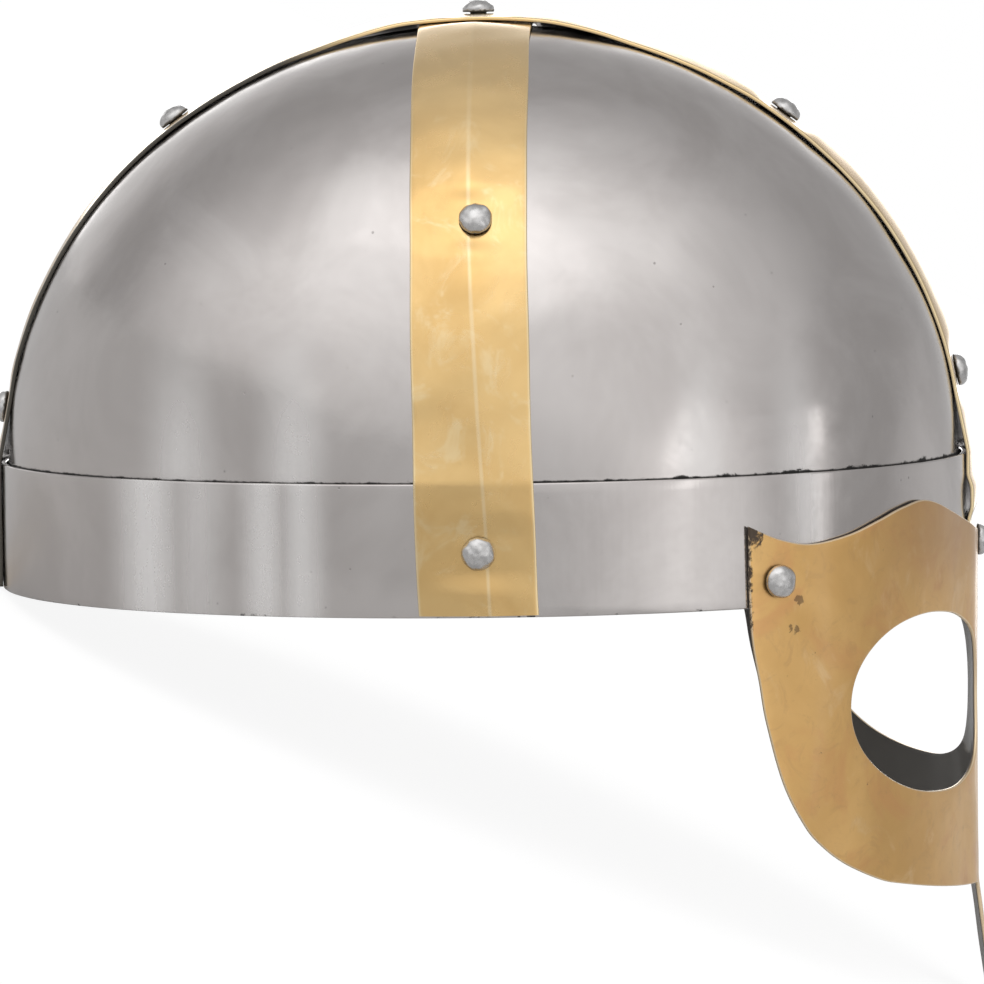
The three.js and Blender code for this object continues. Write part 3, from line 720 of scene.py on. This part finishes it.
def rivet_profile(scene, outer, inner):
    """Half section of a rivet from the tail's end to the top of its head: radius and height."""
    rivet, skull = scene.helmet_rivets, scene.helmet_skull
    foot, tail = outer + skull.fit_gap, -inner - rivet.tail_gap
    shank, head, tail_radius = rivet.shank_diameter / 2, rivet.head_diameter / 2, rivet.tail_diameter / 2
    rows = [(tail_radius * share, tail - rivet.tail_height) for share in (0.3, 0.6)]
    round_off = rivet.tail_height / 2
    for turn in np.linspace(-math.pi / 2, math.pi / 2, 7):
        inward, down = round_off * (1 - math.cos(turn)), round_off * (1 - math.sin(turn))
        rows.append((tail_radius - inward, tail - down))
    rows += [(shank + 0.0002, tail), (shank, tail + 0.0002), (shank, foot - 0.0002), (shank + 0.0002, foot)]
    rows += [(head * 0.8, foot), (head - 0.0002, foot), (head - 0.00005, foot + 0.00008)]
    crown = rivet.head_height - rivet.head_edge
    for turn in np.linspace(0, math.pi / 2, 15)[:-1]:
        rows.append((head * math.cos(turn) ** 0.9, foot + rivet.head_edge + crown * math.sin(turn) ** 1.08))
    return np.array(rows), tail - rivet.tail_height, foot + rivet.head_height


def lathe(rows, bottom, top, sides):
    """Closed body of turned rows between two points on its axis, which is +Z."""
    rings = turned(rows[:, 0], rows[:, 0], rows[:, 1], sides)
    points = np.concatenate([rings.reshape(-1, 3), [[0, 0, bottom], [0, 0, top]]])
    return points, capped_faces(len(rows), sides)


def capped_faces(rows, sides):
    """Faces of a tube of rings whose ends close on two last points: first the start, then the end."""
    faces = grid_faces(rows, sides, False, True)
    start, end, last = rows * sides, rows * sides + 1, (rows - 1) * sides
    for side in range(sides):
        beside = (side + 1) % sides
        faces.append([start, beside, side])
        faces.append([end, last + side, last + beside])
    return faces


# Finishes


class Nodes:
    """Short names for adding nodes to the tree of a material or world."""

    def __init__(self, owner):
        owner.use_nodes = True
        self.tree = owner.node_tree

    def add(self, kind, inputs=(), **settings):
        node = self.tree.nodes.new(kind)
        for key, value in settings.items():
            setattr(node, key, value)
        for socket, value in dict(inputs).items():
            self.feed(node.inputs[socket], value)
        return node

    def feed(self, socket, value):
        if isinstance(value, bpy.types.NodeSocket):
            self.tree.links.new(value, socket)
        elif isinstance(value, tuple) and len(value) == 3 and len(socket.default_value) == 4:
            socket.default_value = (*value, 1)
        else:
            socket.default_value = value

    def ramp(self, value, start, end, low=0.0, high=1.0):
        inputs = {"Value": value, "From Min": start, "From Max": end, "To Min": low, "To Max": high}
        node = self.add("ShaderNodeMapRange", inputs, interpolation_type="SMOOTHSTEP")
        return node.outputs["Result"]

    def math(self, operation, first, second=0.0):
        return self.add("ShaderNodeMath", {0: first, 1: second}, operation=operation).outputs[0]

    def end_in(self, output, unseen, seen, share=1.0):
        """Ends the tree in one shader, with a share of another where it is looked straight at."""
        looked_at = self.add("ShaderNodeLightPath").outputs["Is Camera Ray"]
        share = self.math("MULTIPLY", looked_at, share)
        mix = self.add("ShaderNodeMixShader", {0: share, 1: unseen.outputs[0], 2: seen.outputs[0]})
        self.add(output, {"Surface": mix.outputs[0]})


class Finish(Nodes):
    """One metal material, made of noise, ramps, blends and relief."""

    def __init__(self, name):
        self.material = bpy.data.materials.new(name)
        super().__init__(self.material)
        self.shader = next(node for node in self.tree.nodes if node.type == "BSDF_PRINCIPLED")

    def place(self, layer):
        return self.add("ShaderNodeAttribute", attribute_name=layer).outputs["Vector"]

    def axis(self, vector, axis):
        return self.add("ShaderNodeSeparateXYZ", {"Vector": vector}).outputs[axis]

    def stretched(self, vector, scale):
        return self.add("ShaderNodeVectorMath", {0: vector, 1: scale}, operation="MULTIPLY").outputs[0]

    def noise(self, vector, size, detail=2.0, rough=0.5, twist=0.0):
        """Cloudy noise whose features are about size millimetres across."""
        inputs = {"Vector": vector, "Scale": 1 / size, "Detail": detail, "Roughness": rough}
        return self.add("ShaderNodeTexNoise", {**inputs, "Distortion": twist}).outputs["Fac"]

    def cells(self, vector, size):
        """Distance to the nearest of scattered points about size millimetres apart, as a share of it."""
        return self.add("ShaderNodeTexVoronoi", {"Vector": vector, "Scale": 1 / size}).outputs["Distance"]

    def blend(self, share, first, second):
        node = self.add("ShaderNodeMix", data_type="RGBA")
        self.feed(node.inputs[0], share)
        self.feed(node.inputs[6], first)
        self.feed(node.inputs[7], second)
        return node.outputs[2]

    def between(self, share, first, second):
        return self.add("ShaderNodeMix", {0: share, 2: first, 3: second}, data_type="FLOAT").outputs[0]

    def bump(self, height, depth, normal=None):
        """Relief whose full height is depth millimetres."""
        node = self.add("ShaderNodeBump", {"Height": height, "Distance": depth * MILLIMETRE, "Strength": 1.0})
        if normal is not None:
            self.feed(node.inputs["Normal"], normal)
        return node.outputs["Normal"]

    def wax(self, weight, roughness):
        """Thin clear wax, which shines where the metal is seen nearly edge on."""
        self.feed(self.shader.inputs["Coat Weight"], weight)
        self.feed(self.shader.inputs["Coat Roughness"], roughness)

    def set(self, colour, roughness, metallic, normal):
        values = {"Base Color": colour, "Roughness": roughness, "Metallic": metallic, "Normal": normal}
        for socket, value in values.items():
            self.feed(self.shader.inputs[socket], value)
        return self.material


def wear(finish, where, light, dark):
    """Polish that varies: colour, roughness and a little relief shared by every metal here."""
    cloud = finish.noise(where, 38, 4, 0.6, 0.6)
    fine = finish.noise(where, 3.2, 5, 0.65)
    colour = finish.blend(finish.ramp(cloud, 0.32, 0.68), dark, light)
    smear = finish.noise(where, 14, 3, 0.6, 1.2)
    return colour, smear, fine


def steel_finish(colours, name, is_band):
    """Polished steel: soft clouds, tiny specks, painted reflections and black seam dirt with painted shade.
    """
    finish = Finish(name)
    where = finish.place("upright")
    height = finish.axis(where, "Z")
    colour, smear, fine = wear(finish, where, tuple(colours.steel_light), tuple(colours.steel_dark))
    streak = finish.noise(finish.stretched(where, (1, 1, 0.07)), 3.0, 3, 0.6)
    speck = finish.ramp(finish.cells(where, 4.5), 0.05, 0.09, 1, 0)
    sparse = finish.ramp(finish.noise(where, 9, 2), 0.55, 0.66)
    speck = finish.math("MULTIPLY", speck, sparse)
    colour = finish.blend(finish.math("MULTIPLY", speck, 0.5), colour, (0.2, 0.19, 0.18))
    ragged = finish.noise(where, 5.5, 6, 0.72, 0.8)
    length = finish.axis(where, "Y")
    # Painted reflections: pale streaks at the places listed above, also rougher and less metallic; on the
    # dome they fade out above 45 mm.
    polish = 0.0
    for middle, width, glow in BAND_PAINTED_REFLECTIONS if is_band else DOME_PAINTED_REFLECTIONS:
        away = finish.math("ABSOLUTE", finish.math("SUBTRACT", length, float(middle)))
        polish = finish.math("MAXIMUM", finish.ramp(away, width, 0, 0, glow), polish)
    if not is_band:
        polish = finish.math("MULTIPLY", polish, finish.ramp(height, 45, 0))
    polish = finish.math("MULTIPLY", polish, finish.ramp(streak, 0.2, 0.8, 0.88, 1))
    # Painted reflections: the streaks' pale colour.
    colour = finish.blend(finish.math("MULTIPLY", polish, 0.95), colour, (0.90, 0.88, 0.87))
    # Black along the band's ragged lower edge. On the dome, black along the seam over the band's top edge,
    # thicker to the front: dirt there, and partly painted shade in the gap. The black is rough and not
    # metallic.
    if is_band:
        dirt_and_shade = finish.math("MULTIPLY", finish.ramp(height, -30.2, -30.9), finish.ramp(ragged, 0.58, 0.64))
        smear = finish.between(0.5, smear, streak)
    else:
        ahead = finish.ramp(finish.axis(where, "Y"), -15, -110, 0.5, 1.5)
        thick = finish.math("MULTIPLY", finish.ramp(ragged, 0.42, 0.75, 0.12, 1.0), ahead)
        reach = finish.math("SUBTRACT", height, thick)
        dirt_and_shade = finish.ramp(reach, -0.1, 0.35, 1, 0)
    colour = finish.blend(dirt_and_shade, colour, tuple(colours.grime_and_shade))
    roughness = finish.ramp(smear, 0.3, 0.7, 0.13, 0.2)
    roughness = finish.math("ADD", roughness, finish.ramp(fine, 0.4, 0.8, 0, 0.05))
    roughness = finish.math("ADD", roughness, finish.math("MULTIPLY", polish, 0.12))
    roughness = finish.between(dirt_and_shade, roughness, 0.75)
    metallic = finish.ramp(dirt_and_shade, 0.2, 0.9, 1, 0)
    metallic = finish.math("SUBTRACT", metallic, finish.math("MULTIPLY", polish, 0.65))
    relief = finish.bump(streak if is_band else smear, 0.02)
    relief = finish.bump(fine, 0.006, relief)
    relief = finish.bump(speck, -0.03, relief)
    return finish.set(colour, roughness, metallic, relief)


def strap_finish(colours, strap, name):
    """Golden brass, blotchy where it is handled, with rubbed edges and a painted highlight along the crease.

    It is paler to the crown and dark along its rear edges, as light and shade make it look in
    the photo.
    """
    finish = Finish(name)
    where = finish.place("upright")
    flat = finish.place("sheet")
    across = finish.math("ABSOLUTE", finish.axis(flat, "Y"))
    half = strap.width / 2 / MILLIMETRE
    colour, smear, fine = wear(finish, where, tuple(colours.strap_light), tuple(colours.strap_dark))
    blotch = finish.ramp(finish.noise(where, 16, 6, 0.68, 1.4), 0.52, 0.70)
    colour = finish.blend(finish.math("MULTIPLY", blotch, 0.35), colour, (0.93, 0.80, 0.52))
    fleck = finish.ramp(finish.noise(where, 1.1, 3, 0.7), 0.70, 0.78)
    colour = finish.blend(finish.math("MULTIPLY", fleck, 0.45), colour, (0.32, 0.2, 0.08))
    rubbed = finish.ramp(across, half - 0.8, half - 0.1)
    colour = finish.blend(finish.math("MULTIPLY", rubbed, 0.6), colour, (0.97, 0.84, 0.56))
    # Painted highlight: a paler line along the crease.
    line = finish.ramp(finish.math("ABSOLUTE", finish.axis(finish.place("crease"), "X")), 0.75, 0.15)
    colour = finish.blend(finish.math("MULTIPLY", line, 0.32), colour, (0.98, 0.86, 0.60))
    # Painted highlight: paler towards the crown.
    crown = finish.ramp(finish.axis(where, "Z"), 66, 100, 0, 0.85)
    colour = finish.blend(crown, colour, (1.0, 0.72, 0.36))
    # Painted shade: the under face is dark, and so are both edges towards the rear; rougher and less metallic
    # there.
    under = finish.ramp(finish.axis(flat, "Z"), 0.3, 0.05)
    behind = finish.ramp(finish.axis(where, "Y"), 22, 50)
    edge = finish.ramp(across, half - 1.6, half - 0.6)
    dark = finish.math("MAXIMUM", under, finish.math("MULTIPLY", behind, edge))
    colour = finish.blend(dark, colour, (0.075, 0.066, 0.05))
    roughness = finish.ramp(smear, 0.3, 0.7, 0.16, 0.28)
    roughness = finish.math("ADD", roughness, finish.ramp(fine, 0.4, 0.8, 0, 0.05))
    roughness = finish.between(dark, roughness, 0.6)
    scratch = finish.noise(finish.stretched(flat, (0.12, 2.2, 1)), 1.6, 3, 0.6)
    relief = finish.bump(scratch, 0.006)
    relief = finish.bump(smear, 0.03, relief)
    relief = finish.bump(fine, 0.004, relief)
    finish.wax(0.5, 0.15)
    return finish.set(colour, roughness, finish.ramp(dark, 0.2, 1.0, 1, 0.3), relief)


def guard_finish(colours, guard, name):
    """Brown brass, darker over the eyes, with pitted tarnish at the temples and a dull inner face."""
    finish = Finish(name)
    where = finish.place("upright")
    flat = finish.place("sheet")
    reach = finish.math("ABSOLUTE", finish.axis(flat, "X"))
    height = finish.axis(flat, "Y")
    lift = finish.axis(flat, "Z")
    colour, smear, fine = wear(finish, where, tuple(colours.guard_light), tuple(colours.guard_dark))
    full = guard.reach / MILLIMETRE
    ragged = finish.noise(where, 1.8, 5, 0.7, 0.5)
    patch = finish.ramp(finish.noise(where, 21, 4, 0.6, 1.0), 0.5, 0.68)
    colour = finish.blend(finish.math("MULTIPLY", patch, 0.65), colour, (0.76, 0.40, 0.16))
    mottle = finish.ramp(finish.noise(where, 8, 5, 0.7, 1.6), 0.5, 0.7)
    colour = finish.blend(finish.math("MULTIPLY", mottle, 0.35), colour, (0.62, 0.36, 0.15))
    pale = finish.ramp(finish.noise(finish.stretched(where, (1, 1, 0.6)), 17, 5, 0.65, 1.5), 0.56, 0.72)
    colour = finish.blend(finish.math("MULTIPLY", pale, 0.4), colour, (0.95, 0.70, 0.40))
    brow = finish.math("MULTIPLY", finish.ramp(reach, 80, 45), finish.ramp(height, -38, -16, 0, 0.75))
    colour = finish.blend(brow, colour, (0.54, 0.31, 0.13))
    rubbed = finish.ramp(lift, guard.sheet / MILLIMETRE - 0.005, guard.sheet / MILLIMETRE - 0.1)
    colour = finish.blend(finish.math("MULTIPLY", rubbed, 0.75), colour, (1.0, 0.84, 0.60))
    corner = finish.math("MULTIPLY", finish.ramp(reach, full - 9, full - 1), finish.ramp(height, -23, -13))
    rear = finish.ramp(reach, full - 2.4, full - 0.3, 0, 0.8)
    spread = finish.math("MAXIMUM", corner, rear)
    tarnish = finish.ramp(finish.math("ADD", finish.math("MULTIPLY", spread, 0.62), ragged), 0.93, 1.08)
    spots = finish.ramp(finish.noise(where, 2.6, 3, 0.55), 0.73, 0.79)
    tarnish = finish.math("MAXIMUM", tarnish, finish.math("MULTIPLY", spots, 0.6))
    for along, up, size in GUARD_STAINS:
        inputs = {0: flat, 1: (along, up, guard.sheet / MILLIMETRE)}
        away = finish.add("ShaderNodeVectorMath", inputs, operation="DISTANCE").outputs["Value"]
        away = finish.math("SUBTRACT", away, finish.ramp(ragged, 0.3, 0.7, -1.0, 1.0))
        tarnish = finish.math("MAXIMUM", tarnish, finish.ramp(away, size, size - 0.6, 0, 0.6))
    colour = finish.blend(tarnish, colour, tuple(colours.tarnish))
    inner = finish.ramp(lift, 0.35, 0.15)
    colour = finish.blend(inner, colour, (0.21, 0.195, 0.175))
    roughness = finish.ramp(smear, 0.3, 0.7, 0.36, 0.44)
    roughness = finish.math("ADD", roughness, finish.ramp(fine, 0.4, 0.8, 0, 0.03))
    roughness = finish.between(finish.math("MAXIMUM", tarnish, inner), roughness, 0.68)
    metallic = finish.ramp(finish.math("MAXIMUM", tarnish, inner), 0.3, 1.0, 1, 0.35)
    relief = finish.bump(tarnish, -0.08)
    relief = finish.bump(smear, 0.025, relief)
    relief = finish.bump(fine, 0.003, relief)
    finish.wax(0.5, 0.15)
    return finish.set(colour, roughness, metallic, relief)


def rivet_finish(colours, name):
    """Dull steel with fine dents, and painted shade round the foot of each head that darkens the shank and
    tail too.
    """
    finish = Finish(name)
    where = finish.place("upright")
    up = finish.axis(finish.place("sheet"), "Z")
    dent = finish.noise(where, 1.5, 3, 0.6)
    colour = finish.blend(finish.ramp(dent, 0.35, 0.65), (0.54, 0.53, 0.525), tuple(colours.rivet_steel))
    # Painted shade: dark round the foot of the head, ragged with the dents, and all below it on the shank and
    # tail; rough and hardly metallic there.
    dirt_and_shade = finish.ramp(finish.math("SUBTRACT", up, finish.ramp(dent, 0.3, 0.7, 0, 0.35)), 0.0, 0.45, 1, 0)
    colour = finish.blend(finish.math("MULTIPLY", dirt_and_shade, 0.9), colour, tuple(colours.grime_and_shade))
    roughness = finish.between(dirt_and_shade, finish.ramp(dent, 0.3, 0.7, 0.2, 0.32), 0.8)
    relief = finish.bump(dent, 0.03)
    relief = finish.bump(finish.noise(where, 0.45, 2), 0.01, relief)
    return finish.set(colour, roughness, finish.ramp(dirt_and_shade, 0.2, 1.0, 1, 0.2), relief)


# Operators


class HELMET_OT_dome(bpy.types.Operator):
    """Build the polished steel dome"""

    bl_idname = "helmet.dome"
    bl_label = "Dome"

    def execute(self, context):
        skull = context.scene.helmet_skull
        sides = 240
        grid = dome_points(skull, sides, 84)
        rise = skull.dome_rise
        points = np.concatenate([grid.reshape(-1, 3), [[0, 0, rise], [0, 0, rise - skull.dome_steel]]])
        material = steel_finish(context.scene.helmet_colours, "polished_steel_dome", False)
        make_piece("dome", "skull_dome", points, capped_faces(len(grid), sides), material)
        return {"FINISHED"}


class HELMET_OT_band(bpy.types.Operator):
    """Build the brow band with its rounded edges"""

    bl_idname = "helmet.band"
    bl_label = "Brow band"

    def execute(self, context):
        sides = 480
        grid = band_points(context.scene.helmet_skull, sides)
        faces = grid_faces(len(grid), sides, True, True)
        material = steel_finish(context.scene.helmet_colours, "polished_steel_band", True)
        make_piece("band", "brow_band", grid.reshape(-1, 3), faces, material)
        return {"FINISHED"}


class HELMET_OT_straps(bpy.types.Operator):
    """Build the two crossing brass straps"""

    bl_idname = "helmet.straps"
    bl_label = "Straps"

    def execute(self, context):
        scene = context.scene
        skull, strap = scene.helmet_skull, scene.helmet_straps
        material = strap_finish(scene.helmet_colours, strap, "strap_brass")
        for name in ("fore_aft", "side"):
            route = strap_lay(scene, name)["route"]
            end = route_length(route, strap.foot_rise - skull.band_height)
            places, sheet, from_line = strap_points(scene, name, np.linspace(-end, end, 462))
            stations, around = places.shape[:2]
            faces = grid_faces(stations, around, False, True)
            faces.append(list(range(around))[::-1])
            faces.append([(stations - 1) * around + index for index in range(around)])
            points, sheet, from_line = (grid.reshape(-1, 3) for grid in (places, sheet, from_line))
            node = f"strap_{name}"
            make_piece(f"{node}_brass", node, points, faces, material, sheet, from_line)
        return {"FINISHED"}


class HELMET_OT_guard(bpy.types.Operator):
    """Build the eye guard and nasal from one bent sheet"""

    bl_idname = "helmet.guard"
    bl_label = "Eye guard"

    def execute(self, context):
        scene = context.scene
        guard = scene.helmet_guard
        flat, triangles, borders, depths, insets = guard_sheet(guard)
        falls = np.interp(depths, insets, (0.00026, 0.00012, 0.00004, 0.0))
        bent = flat.copy()
        bent[:, 0] -= guard.far_trim * smooth_step(0.76 * guard.reach, 0.93 * guard.reach, flat[:, 0])
        spread = np.column_stack([flat, np.zeros(len(flat))])
        waves = guard.wave * swell(spread, 0.045, 41) + guard.fine_wave * swell(spread, 0.016, 42)
        count = len(flat)
        points = np.concatenate(
            [guard_points(scene, bent, guard.sheet - falls + waves), guard_points(scene, bent, falls + waves)]
        )
        faces = triangles.tolist() + (triangles[:, ::-1] + count).tolist()
        for border in borders:
            after = np.roll(border, -1)
            walls = np.stack([after, border, border + count, after + count], axis=-1)
            faces += walls.tolist()
        lifts = np.concatenate([guard.sheet - falls, falls])
        sheet = np.column_stack([np.tile(flat, (2, 1)), lifts])
        material = guard_finish(scene.helmet_colours, guard, "guard_brass")
        make_piece("eye_guard", "spectacle_guard", points, faces, material, sheet)
        return {"FINISHED"}


class HELMET_OT_rivets(bpy.types.Operator):
    """Build every rivet with its hammered head"""

    bl_idname = "helmet.rivets"
    bl_label = "Rivets"

    def execute(self, context):
        scene = context.scene
        skull, rivet = scene.helmet_skull, scene.helmet_rivets
        material = rivet_finish(scene.helmet_colours, "rivet_steel")
        for number, (name, holds, end, reach, rise) in enumerate(RIVETS):
            place, out, outer, inner = rivet_seat(scene, holds, end, reach, rise)
            rows, bottom, top = rivet_profile(scene, outer, inner)
            points, faces = lathe(rows, bottom, top, 44)
            up = points[:, 2]
            head = smooth_step(outer, outer + 0.001, up) + smooth_step(-inner, -inner - 0.001, up)
            moved = points + np.array([0.05 * number, 0, 0])
            dents = swell(moved, 0.0042, 50) + 0.6 * swell(moved, 0.0019, 51)
            points = points * (1 + (head * dents * rivet.dent / (rivet.head_diameter / 2))[:, None])
            sheet = points - np.array([0, 0, outer + skull.fit_gap])
            turn = Vector((0, 0, 1)).rotation_difference(Vector(out)).to_matrix()
            points = points @ np.array(turn).T + place
            make_piece(f"{name}_rivet", f"rivet_{name}", points, faces, material, sheet)
        return {"FINISHED"}


def picture_axes(stage):
    """Directions to the right, up and back towards the camera, on the upright helmet."""
    ahead, aside, up = Vector((0, -1, 0)), Vector((-1, 0, 0)), Vector((0, 0, 1))
    level = aside * math.cos(stage.azimuth) + ahead * math.sin(stage.azimuth)
    right = ahead * math.cos(stage.azimuth) - aside * math.sin(stage.azimuth)
    upward = up * math.cos(stage.elevation) - level * math.sin(stage.elevation)
    back = level * math.cos(stage.elevation) + up * math.sin(stage.elevation)
    cos, sin = math.cos(stage.roll), math.sin(stage.roll)
    return right * cos - upward * sin, right * sin + upward * cos, back


def towards(azimuth, elevation):
    """Resting direction for a light. Azimuth 0 is the camera's side of the helmet, + is to its front."""
    turn, rise = math.radians(azimuth), math.radians(elevation)
    ahead, aside = Vector((0, -1, 0)), Vector((-1, 0, 0))
    level = aside * math.cos(turn) + ahead * math.sin(turn)
    return (PLACE.to_3x3() @ (level * math.cos(rise) + Vector((0, 0, 1)) * math.sin(rise))).normalized()


def add_softbox(name, azimuth, elevation, width, height, glow, distance=3.0):
    """A rectangular lamp that faces the helmet, with the given brightness of its face."""
    lamp = bpy.data.lights.new(name, "AREA")
    lamp.shape, lamp.size, lamp.size_y = "RECTANGLE", width, height
    lamp.energy = math.pi * width * height * glow
    softbox = bpy.data.objects.new(name, lamp)
    middle = PLACE @ Vector((0, 0, 0.03))
    back = towards(azimuth, elevation)
    softbox.location = middle + back * distance
    softbox.rotation_euler = (-back).to_track_quat("-Z", "Y").to_euler()
    softbox.visible_camera = False
    bpy.context.scene.collection.objects.link(softbox)


def studio_world(scale):
    """Grey studio with soft glows, and one soft shade, round the helmet. The camera sees it white."""
    world = bpy.data.worlds.new("studio")
    bpy.context.scene.world = world
    nodes = Nodes(world)
    nodes.tree.nodes.clear()
    direction = nodes.add("ShaderNodeTexCoord").outputs["Generated"]
    total = STUDIO_GREY * scale
    for azimuth, elevation, inner, outer, glow in GLOWS:
        inputs = {0: direction, 1: towards(azimuth, elevation)}
        facing = nodes.add("ShaderNodeVectorMath", inputs, operation="DOT_PRODUCT").outputs["Value"]
        start, full = math.cos(math.radians(outer)), math.cos(math.radians(inner))
        total = nodes.math("ADD", nodes.ramp(facing, start, full, 0, glow * scale), total)
    studio = nodes.add("ShaderNodeBackground", {"Color": (1, 1, 1), "Strength": total})
    backdrop = nodes.add("ShaderNodeBackground", {"Color": (1, 1, 1)})
    nodes.end_in("ShaderNodeOutputWorld", studio, backdrop)


def floor_finish():
    """Pale matt floor that glows a little where it is looked at, so it runs into the backdrop."""
    material = bpy.data.materials.new("pale_floor")
    nodes = Nodes(material)
    nodes.tree.nodes.clear()
    matt = nodes.add("ShaderNodeBsdfDiffuse", {"Color": (0.72, 0.72, 0.72)})
    glow = nodes.add("ShaderNodeEmission", {"Strength": 1.16})
    nodes.end_in("ShaderNodeOutputMaterial", matt, glow, 0.78)
    return material


class HELMET_OT_stage(bpy.types.Operator):
    """Set the pale floor, the soft lights and the camera"""

    bl_idname = "helmet.stage"
    bl_label = "Stage"

    def execute(self, context):
        scene = context.scene
        stage = scene.helmet_stage
        half = stage.floor_half
        mesh = bpy.data.meshes.new("floor")
        corners = [(-half, -half, 0), (half, -half, 0), (half, half, 0), (-half, half, 0)]
        mesh.from_pydata(corners, [], [(0, 1, 2, 3)])
        mesh.materials.append(floor_finish())
        floor = bpy.data.objects.new("floor", mesh)
        scene.collection.objects.link(floor)
        studio_world(stage.light_scale)
        for name, azimuth, elevation, width, height, glow in SOFTBOXES:
            add_softbox(name, azimuth, elevation, width, height, glow * stage.light_scale)
        right, up, back = picture_axes(stage)
        camera = bpy.data.cameras.new("camera")
        camera.sensor_width = 36
        camera.lens = camera.sensor_width * stage.distance * stage.pixels_per_metre / stage.picture_side
        camera.clip_start, camera.clip_end = 0.05, 60
        rig = bpy.data.objects.new("camera", camera)
        aim = right * stage.aim_right + up * stage.aim_up
        look = (aim - back * stage.distance).normalized()
        side = look.cross(up).normalized()
        axes = Matrix((side, side.cross(look), -look)).transposed().to_4x4()
        rig.matrix_world = PLACE @ Matrix.Translation(back * stage.distance) @ axes
        scene.collection.objects.link(rig)
        scene.camera = rig
        scene.view_settings.view_transform = "Standard"
        return {"FINISHED"}


class HELMET_PT_panel(bpy.types.Panel):
    """Sidebar panel with each piece of the helmet and its sizes"""

    bl_idname = "HELMET_PT_panel"
    bl_label = "Helmet"
    bl_space_type = "VIEW_3D"
    bl_region_type = "UI"
    bl_category = "Helmet"

    def draw(self, context):
        for step in STEPS:
            self.layout.operator(step.bl_idname)
        for name, group in SETTINGS:
            box = self.layout.box()
            for field in group.__annotations__:
                box.prop(getattr(context.scene, name), field)


SETTINGS = (
    ("helmet_skull", SkullSizes),
    ("helmet_straps", StrapSizes),
    ("helmet_guard", GuardSizes),
    ("helmet_rivets", RivetSizes),
    ("helmet_colours", FinishColours),
    ("helmet_stage", StageSettings),
)
STEPS = (HELMET_OT_dome, HELMET_OT_band, HELMET_OT_straps, HELMET_OT_guard, HELMET_OT_rivets, HELMET_OT_stage)


def register():
    for name, group in SETTINGS:
        bpy.utils.register_class(group)
        setattr(bpy.types.Scene, name, PointerProperty(type=group))
    for step in (*STEPS, HELMET_PT_panel):
        bpy.utils.register_class(step)


def unregister():
    for step in (HELMET_PT_panel, *reversed(STEPS)):
        bpy.utils.unregister_class(step)
    for name, group in reversed(SETTINGS):
        delattr(bpy.types.Scene, name)
        bpy.utils.unregister_class(group)


def main():
    register()
    bpy.ops.helmet.dome()
    bpy.ops.helmet.band()
    bpy.ops.helmet.straps()
    bpy.ops.helmet.guard()
    bpy.ops.helmet.rivets()
    bpy.ops.helmet.stage()


if __name__ == "__main__":
    main()
